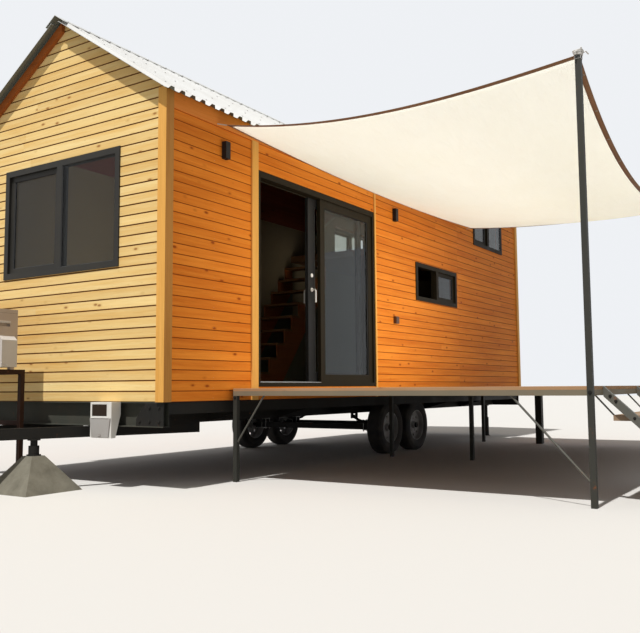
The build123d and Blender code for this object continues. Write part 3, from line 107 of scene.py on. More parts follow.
class Nodes:
    """Shorthand for the nodes of a material or of the world."""

    def __init__(self, owner):
        owner.use_nodes = True
        self.tree = owner.node_tree

    def make(self, kind, **values):
        made = self.tree.nodes.new("ShaderNode" + kind)
        for key, value in values.items():
            setattr(made, key, value)
        return made

    def wire(self, source, target):
        self.tree.links.new(source, target)

    def feed(self, value, socket):
        """Wires a socket, or sets it to a number or a colour."""
        if isinstance(value, bpy.types.NodeSocket):
            self.wire(value, socket)
        elif isinstance(value, (int, float)):
            socket.default_value = value
        else:
            socket.default_value = (*value, 1.0)

    def math(self, operation, first, second):
        made = self.make("Math", operation=operation)
        self.feed(first, made.inputs[0])
        self.feed(second, made.inputs[1])
        return made.outputs["Value"]


# Materials, by name
look = {}


class Paint(Nodes):
    """A material being built."""

    def __init__(self, name):
        look[name] = bpy.data.materials.new(name)
        super().__init__(look[name])
        self.shader = self.tree.nodes["Principled BSDF"]
        self.coords = self.make("TexCoord").outputs["Object"]

    def texture(self, kind, source, **inputs):
        made = self.make(kind)
        for name, value in inputs.items():
            made.inputs[name].default_value = value
        self.wire(source or self.coords, made.inputs["Vector"])
        return made

    def stretch(self, scale, source=None, shift=None):
        mapping = self.texture("Mapping", source, Scale=scale)
        if shift is not None:
            self.wire(shift, mapping.inputs["Location"])
        return mapping.outputs["Vector"]

    def noise(self, scale, detail, rough, source=None):
        made = self.texture("TexNoise", source, Scale=scale, Detail=detail, Roughness=rough)
        return made.outputs["Fac"]

    def cells(self, scale, source=None):
        return self.texture("TexVoronoi", source, Scale=scale)

    def ramp(self, source, stops):
        made = self.make("ValToRGB")
        elements = made.color_ramp.elements
        while len(elements) < len(stops):
            elements.new(0.5)
        for element, (place, colour) in zip(elements, stops):
            element.position = place
            if isinstance(colour, (int, float)):
                colour = (colour, colour, colour)
            element.color = (*colour, 1.0)
        self.wire(source, made.inputs["Fac"])
        return made.outputs["Color"]

    def mix(self, share, first, second, kind="MIX"):
        made = self.make("Mix", data_type="RGBA", blend_type=kind)
        for value, number in ((share, 0), (first, 6), (second, 7)):
            self.feed(value, made.inputs[number])
        return made.outputs[2]

    def bump(self, height, strength, distance, under=None):
        made = self.make("Bump")
        made.inputs["Strength"].default_value = strength
        made.inputs["Distance"].default_value = distance
        self.wire(height, made.inputs["Height"])
        if under is not None:
            self.wire(under, made.inputs["Normal"])
        return made.outputs["Normal"]

    def finish(self, colour, rough, normal=None, **values):
        for value, name in ((colour, "Base Color"), (rough, "Roughness"), (normal, "Normal")):
            if value is not None:
                self.feed(value, self.shader.inputs[name])
        for key, value in values.items():
            self.shader.inputs[key.replace("_", " ")].default_value = value


def wood(name, light, dark, axis, knots=True, boards=False, weather=0.0, rough=0.62, gloss=0.25):
    """Timber with grain, streaks and knots along one axis."""
    paint = Paint(name)
    source = paint.coords
    if boards:
        attribute = paint.make("Attribute", attribute_name="board")
        split = paint.make("SeparateColor")
        paint.wire(attribute.outputs["Color"], split.inputs["Color"])
        shift = paint.make("CombineXYZ")
        for socket, channel in (("X", "Green"), ("Y", "Blue"), ("Z", "Green")):
            paint.wire(paint.math("MULTIPLY", split.outputs[channel], 37.0), shift.inputs[socket])
        source = paint.stretch((1, 1, 1), shift=shift.outputs["Vector"])

    def grain(along, across):
        scale = tuple(along if letter == axis else across for letter in "xyz")
        return paint.stretch(scale, source)

    streaks = paint.noise(1.0, 6, 0.6, grain(1.1, 28))
    fine = paint.noise(1.0, 3, 0.7, grain(6, 190))
    broad = paint.noise(1.0, 2, 0.5, grain(0.8, 5))
    deep = tuple(0.62 * c for c in dark)
    pale = tuple(min(1, 1.14 * c) for c in light)
    colour = paint.mix(paint.ramp(streaks, [(0.3, 0.0), (0.72, 1.0)]), light, dark)
    colour = paint.mix(paint.ramp(fine, [(0.35, 0.0), (0.75, 0.35)]), colour, deep)
    colour = paint.mix(paint.ramp(broad, [(0.4, 0.0), (0.8, 0.45)]), colour, pale)
    if boards:
        tints = [(0.0, (0.92, 0.88, 0.83)), (0.5, (1.0, 0.99, 0.98)), (1.0, (1.05, 1.07, 1.11))]
        colour = paint.mix(1.0, colour, paint.ramp(split.outputs["Red"], tints), "MULTIPLY")
    height = paint.mix(0.5, streaks, fine)
    if knots:
        spots = paint.cells(1.0, grain(5.2, 11.5))
        size = paint.make("SeparateColor")
        paint.wire(spots.outputs["Color"], size.inputs["Color"])
        reach = paint.math("MULTIPLY", paint.math("GREATER_THAN", size.outputs["Red"], 0.66), 0.135)
        inside = paint.math("SUBTRACT", reach, spots.outputs["Distance"])
        core = paint.ramp(inside, [(0.0, 0.0), (0.05, 0.8)])
        halo = paint.ramp(paint.math("ADD", inside, 0.1), [(0.0, 0.0), (0.14, 0.6)])
        colour = paint.mix(halo, colour, tuple(0.7 * c for c in dark))
        red, green, blue = dark
        colour = paint.mix(core, colour, (0.4 * red, 0.24 * green, 0.24 * blue))
    if weather:
        grey = paint.noise(1.0, 5, 0.6, paint.stretch((2.1, 2.1, 2.1)))
        share = paint.ramp(grey, [(0.3, 0.0), (0.7, weather)])
        colour = paint.mix(share, colour, (0.36, 0.33, 0.29))
    paint.finish(colour, rough, paint.bump(height, 0.35, 0.0012), Specular_IOR_Level=gloss)


def metal_paint(name, colour, dust, rough, rust=0.0, metallic=0.0, scale=3.0, share=0.5, gloss=0.5):
    """Painted steel with dust, small dents and rust where asked."""
    paint = Paint(name)
    dirt = paint.noise(scale, 6, 0.62)
    fine = paint.noise(160, 2, 0.5)
    made = paint.mix(paint.ramp(dirt, [(0.42, 0.0), (0.75, share)]), colour, dust)
    if rust:
        spots = paint.noise(scale * 4, 8, 0.7)
        marks = paint.ramp(spots, [(0.66 - 0.1 * rust, 0.0), (0.74, 0.9)])
        made = paint.mix(marks, made, (0.2, 0.065, 0.02))
    uneven = paint.ramp(dirt, [(0.3, rough), (0.8, min(1.0, rough + 0.25))])
    normal = paint.bump(fine, 0.08, 0.0006)
    paint.finish(made, uneven, normal, Metallic=metallic, Specular_IOR_Level=gloss)


def glass(name, tint, ior=1.22):
    """Thin panes that bend light little, with faint smears."""
    paint = Paint(name)
    uneven = paint.ramp(paint.noise(2.4, 3, 0.5), [(0.4, 0.02), (0.8, 0.05)])
    paint.finish(tint, uneven, Transmission_Weight=1.0, IOR=ior)


def cloth(name, light, dark, through=False):
    """Plain woven cloth in any direction, with soft creases; light may pass through it."""
    paint = Paint(name)
    thread, rough = 0.0016, 0.85
    weave = paint.cells(1.0 / thread)
    soft = paint.noise(1.6, 4, 0.55)
    crease = paint.noise(1.0, 4, 0.6, paint.stretch((2.0, 7.0, 2.0)))
    colour = paint.mix(paint.ramp(soft, [(0.35, 0.0), (0.7, 1.0)]), light, dark)
    thread_tone = paint.ramp(weave.outputs["Distance"], [(0.0, 0.94), (0.8, 1.0)])
    colour = paint.mix(1.0, colour, thread_tone, "MULTIPLY")
    normal = paint.bump(weave.outputs["Distance"], 0.25, 0.0005)
    normal = paint.bump(crease, 0.6, 0.025, normal)
    if through:
        paint.shader.inputs["Subsurface Radius"].default_value = (1.0, 1.0, 0.9)
        paint.finish(colour, rough, normal, Subsurface_Weight=1.0, Subsurface_Scale=0.022)
    else:
        paint.finish(colour, rough, normal, Sheen_Weight=0.15)


def plastic(name, colour, stain, rough=0.45):
    """Moulded plastic or plain paint, a little uneven with age."""
    paint = Paint(name)
    age = paint.noise(5.0, 5, 0.6)
    grit = paint.noise(420, 2, 0.5)
    made = paint.mix(paint.ramp(age, [(0.4, 0.0), (0.8, 0.5)]), colour, stain)
    paint.finish(made, rough, paint.bump(grit, 0.1, 0.0003))


def mineral(name, light, dark):
    """Cast concrete with patches and pores."""
    paint = Paint(name)
    patches = paint.noise(7, 8, 0.65)
    pores = paint.cells(90)
    grit = paint.noise(130, 4, 0.6)
    colour = paint.mix(paint.ramp(patches, [(0.35, 0.0), (0.7, 1.0)]), light, dark)
    hollows = paint.ramp(pores.outputs["Distance"], [(0.0, 0.0), (0.25, 1.0)])
    normal = paint.bump(grit, 0.5, 0.003)
    paint.finish(colour, 0.9, paint.bump(hollows, 0.4, 0.002, normal))


def rubber(name):
    """Tyre rubber with dust."""
    paint = Paint(name)
    dust = paint.ramp(paint.noise(6, 5, 0.6), [(0.4, 0.0), (0.75, 0.6)])
    colour = paint.mix(dust, (0.022, 0.022, 0.023), (0.1, 0.082, 0.062))
    grit = paint.noise(240, 3, 0.5)
    paint.finish(colour, 0.8, paint.bump(grit, 0.25, 0.0006))


# Painted light: gables and long walls carry one wood, as a sunlit copy on the gables and a shaded copy on
# the long walls
wood("siding_sunlit_gable", (0.92, 0.72, 0.35), (0.83, 0.53, 0.17), "y", boards=True, gloss=0.15)
wood("siding_shaded_side", (0.86, 0.3, 0.036), (0.66, 0.165, 0.012), "x", boards=True, gloss=0.15)
# Painted shade in the boards' grooves: dark brown faces stand in for the shade inside the gaps
wood("groove_shade_gable", (0.22, 0.085, 0.016), (0.15, 0.055, 0.01), "y", knots=False)
wood("groove_shade_side", (0.4, 0.1, 0.01), (0.3, 0.07, 0.006), "x", knots=False)
# Painted shade: a darker copy of the trim wood, for the front corner board's door-side face
wood("trim_shaded_side", (0.56, 0.27, 0.065), (0.46, 0.2, 0.04), "z", knots=False)
wood("trim_wood", (0.84, 0.46, 0.115), (0.72, 0.35, 0.07), "z", knots=False)
wood("frieze_wood", (0.8, 0.28, 0.055), (0.74, 0.22, 0.028), "x", gloss=0.2)
wood("batten_wood", (0.4, 0.115, 0.022), (0.3, 0.08, 0.014), "y", knots=False)
# Painted shade: the ceiling and floors inside the house are darkened for the shade inside
wood("shaded_ceiling_wood", (0.25, 0.062, 0.028), (0.18, 0.042, 0.018), "x")
wood("shaded_inside_wood", (0.34, 0.17, 0.07), (0.25, 0.115, 0.045), "x")
wood("deck_wood", (0.46, 0.265, 0.125), (0.34, 0.185, 0.08), "y", boards=True, weather=0.3, rough=0.8)
# Painted shade: the treads' wood is darkened for the shade they sit in; the grey is real weathering
wood("shaded_tread_wood", (0.36, 0.23, 0.13), (0.25, 0.15, 0.08), "x", weather=0.4, rough=0.8)
# Painted shade: the inside lining is darkened for the shade inside the house
plastic("shaded_inside_wall", (0.27, 0.21, 0.12), (0.22, 0.17, 0.1), 0.8)
metal_paint("roof_steel", (0.6, 0.615, 0.62), (0.53, 0.52, 0.49), 0.42, share=0.35, scale=1.6)
# Backs of the roof sheets: a grey backing coat, darkened with painted shade
metal_paint("sheet_back_and_shade", (0.155, 0.165, 0.135), (0.2, 0.19, 0.15), 0.6, share=0.4, scale=1.6)
metal_paint("frame_grey", (0.026, 0.025, 0.022), (0.06, 0.054, 0.044), 0.42, share=0.35, gloss=0.22)
metal_paint("door_grey", (0.018, 0.014, 0.008), (0.036, 0.029, 0.018), 0.5, share=0.35, gloss=0.1)
metal_paint("leaf_black", (0.012, 0.012, 0.012), (0.035, 0.031, 0.026), 0.4, share=0.3, gloss=0.22)
metal_paint(
    "black_steel", (0.009, 0.009, 0.008), (0.034, 0.028, 0.022), 0.55, rust=0.3, share=0.4, gloss=0.22)
# Painted sunlight: a lighter grey for the front beam's sun-facing faces, with real rust
metal_paint("beam_sunlit_grey", (0.048, 0.052, 0.043), (0.1, 0.085, 0.065), 0.6, rust=0.3, gloss=0.22)
metal_paint("brown_steel", (0.028, 0.01, 0.005), (0.075, 0.038, 0.02), 0.6, rust=0.4, share=0.4, gloss=0.22)
metal_paint("grey_steel", (0.088, 0.09, 0.08), (0.16, 0.135, 0.1), 0.5, rust=0.35, share=0.45)
# Painted shade: the posts' paint is darkened for the shade on their door-side faces
metal_paint("shaded_post_steel", (0.032, 0.033, 0.028), (0.06, 0.055, 0.044), 0.5, rust=0.3, share=0.45, gloss=0.3)
metal_paint("deck_steel", (0.17, 0.145, 0.098), (0.25, 0.19, 0.12), 0.6, rust=0.5)
metal_paint("bare_steel", (0.46, 0.46, 0.45), (0.3, 0.27, 0.24), 0.35, metallic=0.9)
metal_paint("aluminium", (0.62, 0.62, 0.6), (0.45, 0.43, 0.39), 0.34, metallic=0.9, scale=9)
metal_paint("rim_paint", (0.42, 0.43, 0.44), (0.2, 0.16, 0.12), 0.4, rust=0.2, scale=7)
metal_paint("lamp_black", (0.012, 0.012, 0.013), (0.05, 0.042, 0.036), 0.4, share=0.3, gloss=0.22)
plastic("white_plastic", (0.74, 0.74, 0.72), (0.6, 0.58, 0.53))
plastic("flap_plastic", (0.4, 0.39, 0.38), (0.32, 0.3, 0.28))
metal_paint("smoked_plastic", (0.022, 0.013, 0.007), (0.035, 0.024, 0.016), 0.4, gloss=0.2)
plastic("socket_plastic", (0.085, 0.034, 0.014), (0.13, 0.06, 0.03), 0.4)
plastic("casing_white", (0.48, 0.4, 0.34), (0.39, 0.31, 0.25), 0.5)
plastic("cover_plastic", (0.6, 0.58, 0.56), (0.5, 0.46, 0.42), 0.5)
plastic("black_nylon", (0.02, 0.02, 0.02), (0.04, 0.04, 0.04))
plastic("lamp_lens", (0.7, 0.68, 0.6), (0.6, 0.56, 0.46), 0.25)
plastic("rubber_seal", (0.014, 0.014, 0.014), (0.03, 0.03, 0.03), 0.6)
glass("pane_glass", (0.72, 0.75, 0.74))
glass("door_glass", (0.62, 0.64, 0.58), ior=1.17)
cloth("sail_cloth", (0.885, 0.945, 0.6), (0.87, 0.92, 0.56), through=True)
cloth("hem_cloth", (0.3, 0.155, 0.075), (0.22, 0.11, 0.05))
cloth("rag_cloth", (0.78, 0.78, 0.77), (0.64, 0.64, 0.63))
cloth("cord_white", (0.7, 0.68, 0.62), (0.52, 0.5, 0.45))
# Painted shade: the concrete is darkened for the house's shadow over the footings
mineral("concrete", (0.2, 0.19, 0.15), (0.12, 0.112, 0.085))
rubber("tyre_rubber")


def stair_paint():
    """Stained boards under the steps and a darker grey-green below them, both darkened as painted shade
    inside the house.
    """
    paint = Paint("stair_side")
    split = paint.make("SeparateXYZ")
    paint.wire(paint.coords, split.inputs[0])
    slope = (LOFT_TOP - FLOOR_TOP) / (STAIR_END - STAIR_START)
    along = paint.math("SUBTRACT", split.outputs["X"], origin.x + STAIR_START)
    line = paint.math("ADD", paint.math("MULTIPLY", along, slope), FLOOR_TOP - 0.52)
    low = paint.math("LESS_THAN", split.outputs["Z"], line)
    grain = paint.noise(1.0, 5, 0.6, paint.stretch((1.4, 24, 24)))
    stained_and_shaded = paint.mix(grain, (0.4, 0.125, 0.032), (0.28, 0.08, 0.02))
    # Below the line: a darker grey-green, painted shade under the steps
    panel = paint.mix(grain, (0.16, 0.155, 0.1), (0.13, 0.125, 0.08))
    paint.finish(paint.mix(low, stained_and_shaded, panel), 0.6, paint.bump(grain, 0.3, 0.001))


stair_paint()


def dress(material, *names):
    """Gives CAD nodes a better material."""
    for name in names:
        slots = nodes[name].data.materials
        slots.clear()
        slots.append(look[material])


def dress_faces(name, choose, *materials):
    """Gives each face of a CAD node one of several materials: choose(centre, normal) -> number."""
    dress(materials[0], name)
    data = nodes[name].data
    for material in materials[1:]:
        data.materials.append(look[material])
    for polygon in data.polygons:
        centre = polygon.center - Vector((origin.x, origin.y, 0.0))
        polygon.material_index = int(choose(centre, polygon.normal))


dress("frieze_wood", "friezes")
dress("batten_wood", "verge_battens")
dress("shaded_ceiling_wood", "roof_panels", "loft_roof_panels")
dress("shaded_inside_wood", "floor", "loft_floor", "loft_stair_treads")
dress("stair_side", "loft_stair_sides")
dress("shaded_inside_wall", "dormer_cheek")
dress("door_grey", "door_jambs", "door_head_and_sill", "door_leaf_fixed")
dress("leaf_black", "door_leaf_sliding")
dress("white_plastic", "door_handles")
dress("black_nylon", "door_rollers")
dress("pane_glass", "fixed_glass")
dress("door_glass", "door_glass_sliding")
dress("black_steel", "chassis_long_members", "drawbar_arms")
dress("black_steel", "drawbar_coupling", "screw_jacks", "axles", "axle_brackets")
dress("lamp_black", "lamps")
dress("brown_steel", "ac_stand")
dress("concrete", "concrete_blocks")
dress("deck_steel", "deck_end_beams", "deck_joists")
dress("grey_steel", "deck_braces", "step_stringers")
dress("shaded_post_steel", "deck_posts")
dress("shaded_tread_wood", "step_treads")
dress("cord_white", "sail_ties")
for row in ("front", "rear"):
    for side in ("door", "back"):
        dress("tyre_rubber", f"tyre_{row}_{side}_side")
        dress("rim_paint", f"rim_{row}_{side}_side")


# The outdoor unit: its cover's face, its front, and its fan's middle in Y and Z
AC_SIDE = 1.451
AC_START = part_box("ac_casing")[0].x - origin.x
AC_FAN = (AC_SIDE + 0.78 * 0.58, 1.001 + 0.494 / 2)


def box_face(centre, normal):
    """Inlet box, the socket on the door wall, and the inlet box's flap."""
    if centre.x > 1.0:
        return 1
    return 2 if centre.x < -0.1005 else 0


def casing_face(centre, normal):
    """Casing, side cover, and the fan's opening."""
    depth = centre.x - AC_START
    aside = math.hypot(centre.y - AC_FAN[0], centre.z - AC_FAN[1])
    if centre.y < AC_SIDE - 0.001:
        return 1
    inside = 0.0001 < depth < 0.062 and aside < 0.202
    return 2 if inside or (abs(depth) < 0.0001 and aside < 0.199) else 0


# Painted shade on the front corner board's door-side face, darker browner frames on the door wall as
# painted shade of that wall, roof sheet backs in a grey backing coat with painted shade, a bright lower
# rail, and painted sunlight on the front beam between the gussets
dress_faces("upright_trims", lambda c, n: n.y < -0.9 and c.x < 0.1, "trim_wood", "trim_shaded_side")
# Painted shade: frames on the door wall take the darker, browner door colour
dress_faces("window_frames", lambda c, n: c.y < 0.2 and c.x > 1.0, "frame_grey", "door_grey")
# Downward faces of the sheets and cap take the backing coat with painted shade
for name in ("roof_sheets", "loft_roof_sheets", "ridge_cap"):
    dress_faces(name, lambda c, n: n.z < 0.0, "roof_steel", "sheet_back_and_shade")
dress_faces("door_rails", lambda c, n: c.z > 2.0, "aluminium", "door_grey")
# Front and top faces of the front beam take painted sunlight
dress_faces(
    "chassis_cross_members",
    lambda c, n: c.x < 0.08 and 0.3 < c.y < WIDTH - 0.3 and (n.x < -0.9 or n.z > 0.9),
    "black_steel", "beam_sunlit_grey")
dress_faces("electric_boxes", box_face, "white_plastic", "socket_plastic", "flap_plastic")
dress_faces("ac_casing", casing_face, "casing_white", "cover_plastic", "lamp_black")


# Mesh helpers
def finish_object(name, mesh, materials, body="house", smooth=False):
    """Turns a bmesh into a piece that rides on a body."""
    data = bpy.data.meshes.new(name)
    bmesh.ops.recalc_face_normals(mesh, faces=mesh.faces)
    mesh.to_mesh(data)
    mesh.free()
    for material in materials:
        data.materials.append(look[material])
    if smooth:
        data.shade_smooth()
    piece = link_object(name, data)
    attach(piece, body)
    return piece


def add_prism(mesh, profile, start, end, place, colour, layer, chamfered):
    """A board between two stations: profile of (z, depth) pairs, ends closed."""
    rings = []
    for station in (start, end):
        rings.append([mesh.verts.new(place(station, z, depth)) for z, depth in profile])
    count = len(profile)
    faces = []
    for number in range(count):
        after = (number + 1) % count
        face = mesh.faces.new((rings[0][number], rings[0][after], rings[1][after], rings[1][number]))
        # Chamfered sides take slot 1, the grooves' painted shade
        face.material_index = 1 if number in chamfered else 0
        faces.append(face)
    faces.append(mesh.faces.new(rings[0]))
    faces.append(mesh.faces.new(list(reversed(rings[1]))))
    for face in faces:
        for loop in face.loops:
            loop[layer] = colour


def ring_of(mesh, centre, side, other, radius, sides, turn=0.0):
    """Corners round a centre, in the plane of two directions."""
    ring = []
    for step in range(sides):
        angle = turn + 2 * math.pi * step / sides
        spot = centre + radius * (side * math.cos(angle) + other * math.sin(angle))
        ring.append(mesh.verts.new(spot))
    return ring


def skin(mesh, rings, number):
    """Faces between rings and over open ends; a ring of one corner is a tip."""
    faces = [mesh.faces.new(ring) for ring in (rings[0], rings[-1]) if len(ring) > 1]
    for low, high in zip(rings, rings[1:]):
        sides = max(len(low), len(high))
        for step in range(sides):
            after = (step + 1) % sides
            corners = [low[step % len(low)], low[after % len(low)]]
            corners += [high[after % len(high)], high[step % len(high)]]
            faces.append(mesh.faces.new(list(dict.fromkeys(corners))))
    for face in faces:
        face.material_index = number


def lathe(mesh, centre, axis, profile, sides, number=0, turn=0.0):
    """A turned piece: (distance along the axis, radius) pairs; a radius of 0 closes an end."""
    axis = Vector(axis).normalized()
    side = axis.orthogonal().normalized()
    other = axis.cross(side)
    rings = []
    for along, radius in profile:
        middle = Vector(centre) + axis * along
        if radius == 0:
            rings.append([mesh.verts.new(middle)])
        else:
            rings.append(ring_of(mesh, middle, side, other, radius, sides, turn))
    skin(mesh, rings, number)


def tube(mesh, points, radius):
    """A round strand of eight sides through points, with closed ends."""
    rings = []
    for index, point in enumerate(points):
        axis = (points[min(len(points) - 1, index + 1)] - points[max(0, index - 1)]).normalized()
        side = axis.cross(Vector(UP))
        side = side.normalized() if side.length > 1e-6 else axis.orthogonal().normalized()
        rings.append(ring_of(mesh, point, side, axis.cross(side), radius, 8))
    skin(mesh, rings, 0)


def slab(mesh, low, high, edge=0.0015, number=0):
    """A box with chamfered edges between two corners in house axes."""
    low, high = at(*low), at(*high)
    size = high - low
    made = bmesh.ops.create_cube(mesh, size=1.0)
    corners = made["verts"]
    for vertex in corners:
        vertex.co = Vector([low[i] + (vertex.co[i] + 0.5) * size[i] for i in range(3)])
    edges = list({link for vertex in corners for link in vertex.link_edges})
    faces = {face for vertex in corners for face in vertex.link_faces}
    for face in faces:
        face.material_index = number
    bmesh.ops.bevel(mesh, geom=edges, offset=edge, segments=1, affect="EDGES")


def bolt(mesh, centre, axis, size):
    """A hexagon head on a washer; size is the radius over the corners."""
    start = size * 0.22
    top = start + size * 0.75
    lathe(mesh, centre, axis, [(0.0, size * 1.45), (start, size * 1.45)], 14)
    profile = [(start, size), (top - size * 0.12, size), (top, size * 0.86)]
    lathe(mesh, centre, axis, profile, 6, 0, chance.uniform(0, 1))


def frame_strips(mesh, u_range, z_range, place, depths, width, number=0):
    """Four mitred strips round a pane: depths of their front and back."""
    (u0, u1), (z0, z1) = u_range, z_range
    front, back = depths
    loops = []
    for inset, depth in ((0.0, back), (0.0, front), (width, back)):
        left, right, low, high = u0 + inset, u1 - inset, z0 + inset, z1 - inset
        corners = ((left, low), (right, low), (right, high), (left, high))
        loops.append([mesh.verts.new(place(u, z, depth)) for u, z in corners])
    for first, second in zip(loops, loops[1:] + loops[:1]):
        for step in range(4):
            after = (step + 1) % 4
            face = mesh.faces.new((first[step], first[after], second[after], second[step]))
            face.material_index = number


def cut_spans(start, end, gaps):
    """What is left of a span between gaps, without scraps under 4 mm."""
    spans = [(start, end)]
    for low, high in gaps:
        pieces = []
        for a, b in spans:
            pieces += [(a, low), (high, b)] if a < high and low < b else [(a, b)]
        spans = [(a, b) for a, b in pieces if b > a]
    return [(a, b) for a, b in spans if b - a > 0.004]


def board_profile(a, b, low, high, half, groove):
    """A board's section from a to b, and which of its sides are chamfers."""
    profile, dark = [(a, 0.0)], []
    if a == low:
        profile = [(a, groove), (a + half, 0.0)]
        dark.append(0)
    if b == high:
        profile += [(b - half, 0.0), (b, groove)]
        dark.append(len(profile) - 2)
    else:
        profile.append((b, 0.0))
    return profile + [(b, BOARD), (a, BOARD)], dark


def siding(name, node, span, top, place, holes, materials, cuts, half=0.0042, groove=0.006):
    """Grooved boards over a wall core, flush with the CAD wall's outer face."""
    mesh = bmesh.new()
    layer = mesh.loops.layers.color.new("board")
    length, shortest = 3.9, 0.4
    near, gap, nail_drop = 1e-4, 0.0004, 0.018
    for row in range(math.ceil((top - SIDING_BOTTOM) / PITCH)):
        low = SIDING_BOTTOM + row * PITCH
        high = low + PITCH
        breaks = {z for hole in holes for z in hole[2:] if low + near < z < high - near}
        levels = [low] + sorted(breaks) + [high]
        joints = [span[0]]
        joint = span[0] + chance.uniform(0.4, 1.0) * length
        while joint < span[1] - shortest:
            joints.append(joint)
            joint += chance.uniform(0.75, 1.1) * length
        joints.append(span[1])
        for first, last in zip(joints, joints[1:]):
            colour = (chance.random(), chance.random(), chance.random(), 1.0)
            for a, b in zip(levels, levels[1:]):
                gaps = [(u0, u1) for u0, u1, z0, z1 in holes if z0 < b - near and z1 > a + near]
                profile, dark = board_profile(a, b, low, high, half, groove)
                for start, end in cut_spans(first, last, gaps):
                    add_prism(mesh, profile, start + gap, end - gap, place, colour, layer, dark)
                    if a == low and b == high:
                        nails(mesh, place, start, end, (a + b) / 2 - nail_drop, layer)
    for point, normal in cuts:
        geometry = mesh.verts[:] + mesh.edges[:] + mesh.faces[:]
        cut = bmesh.ops.bisect_plane(
            mesh, geom=geometry, plane_co=point, plane_no=normal, clear_outer=True)
        edges = [item for item in cut["geom_cut"] if isinstance(item, bmesh.types.BMEdge)]
        bmesh.ops.edgeloop_fill(mesh, edges=edges)
    add_core(mesh, node, place)
    return finish_object(name, mesh, materials)


def nails(mesh, place, start, end, z, layer):
    """Small heads at a board's ends and where it crosses a stud."""
    stud, radius = 0.6, 0.0022
    first = math.ceil((start + 0.03) / stud)
    places = [start + 0.022, end - 0.022]
    places += [stud * number for number in range(first, int((end - 0.03) / stud) + 1)]
    for u in places:
        ring = []
        for step in range(6):
            angle = math.pi * step / 3
            spot = place(u + radius * math.cos(angle), z + radius * math.sin(angle), -0.0004)
            ring.append(mesh.verts.new(spot))
        head = mesh.faces.new(ring)
        head.material_index = 3
        for loop in head.loops:
            loop[layer] = PLAIN


def add_core(mesh, node, place):
    """The wall behind the boards: the CAD wall with its outer face set back."""
    layer = mesh.loops.layers.color["board"]
    outer = place(0, 0, 0)
    inward = (place(0, 0, 1) - outer).normalized()
    copies = []
    data = nodes[node].data
    gable = abs(inward.x) > 0.5
    for vertex in data.vertices:
        spot = vertex.co.copy()
        if abs((spot - outer).dot(inward)) < 1e-4:
            spot += inward * BOARD
        for edge, out in ((origin.y, -1), (origin.y + WIDTH, 1)):
            if gable and abs(spot.y - edge) < 1e-4:
                spot.y -= out * BOARD
        copies.append(mesh.verts.new(spot))
    for polygon in data.polygons:
        try:
            face = mesh.faces.new([copies[index] for index in polygon.vertices])
        except ValueError:
            continue
        # Side faces of the core take slot 1, the grooves' painted shade; inner faces take slot 2
        face.material_index = 2 if polygon.normal.dot(inward) > 0.9 else 1
        for loop in face.loops:
            loop[layer] = PLAIN


# Holes in the walls: start, end, bottom and top along each wall
DOOR = (1.214, 3.448, 0.82, 2.85)
KITCHEN = (4.537, 5.835, 1.915, 2.41)
LOFT = (6.513, 7.703, 2.923, 3.483)
GABLE = (0.524, 2.056, 1.831, 2.861)
DORMER = 5.9      # where the raised part begins


def on_door_wall(u, z, depth):
    return at(u, depth, z)


def on_back_wall(u, z, depth):
    return at(u, WIDTH - depth, z)


def on_front_gable(u, z, depth):
    return at(depth, u, z)


def on_rear_gable(u, z, depth):
    return at(LENGTH - depth, u, z)


def slope_cuts(eave):
    """Planes just under the two roof slopes, which end the boards of a gable."""
    middle = WIDTH / 2
    cuts = []
    for side in (-1, 1):
        normal = Vector((0, side * (RIDGE - eave), middle)).normalized()
        cuts.append((at(0, middle, RIDGE) - normal * 0.001, normal))
    return cuts


# Long walls take the shaded copy of the boards' wood, gables the sunlit copy
side_materials = ["siding_shaded_side", "groove_shade_side", "shaded_inside_wall", "bare_steel"]
gable_materials = ["siding_sunlit_gable", "groove_shade_gable", "shaded_inside_wall", "bare_steel"]
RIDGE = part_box("front_wall")[1].z
FRONT_EAVE = 3.27
LOFT_EAVE = 3.74


def side_wall(node, span, holes, at_back=False):
    """Boards of a long wall, which end at the wall's own sloping top."""
    place = on_back_wall if at_back else on_door_wall
    outer_y = place(0, 0, 0).y
    top = max(v.co.z for v in nodes[node].data.vertices if abs(v.co.y - outer_y) < 1e-4) - 0.001
    cuts = [(Vector((0, 0, top)), Vector(UP))]
    piece = siding("boards_" + node, node, span, top + PITCH, place, holes, side_materials, cuts)
    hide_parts(node)


side_wall("door_wall_front", (0.0, DOOR[0]), [])
side_wall("door_wall_at_door", (DOOR[0], DOOR[1]), [DOOR])
side_wall("door_wall_middle", (DOOR[1], DORMER), [KITCHEN])
side_wall("door_wall_rear", (DORMER, LENGTH), [LOFT])
side_wall("back_wall_front", (0.0, DORMER), [], True)
side_wall("back_wall_rear", (DORMER, LENGTH), [LOFT], True)
for node, place, eave, holes in (
    ("front_wall", on_front_gable, FRONT_EAVE, [GABLE]),
    ("rear_wall", on_rear_gable, LOFT_EAVE, []),
):
    piece = siding(
        "boards_" + node, node, (0.0, WIDTH), RIDGE, place, holes, gable_materials,
        slope_cuts(eave), 0.006, 0.0075)
    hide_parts(node)


# Deck boards
DECK_COUNT = 42
DECK_LOW, DECK_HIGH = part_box("deck_boards")
DECK_PITCH = (DECK_HIGH.x - DECK_LOW.x) / DECK_COUNT


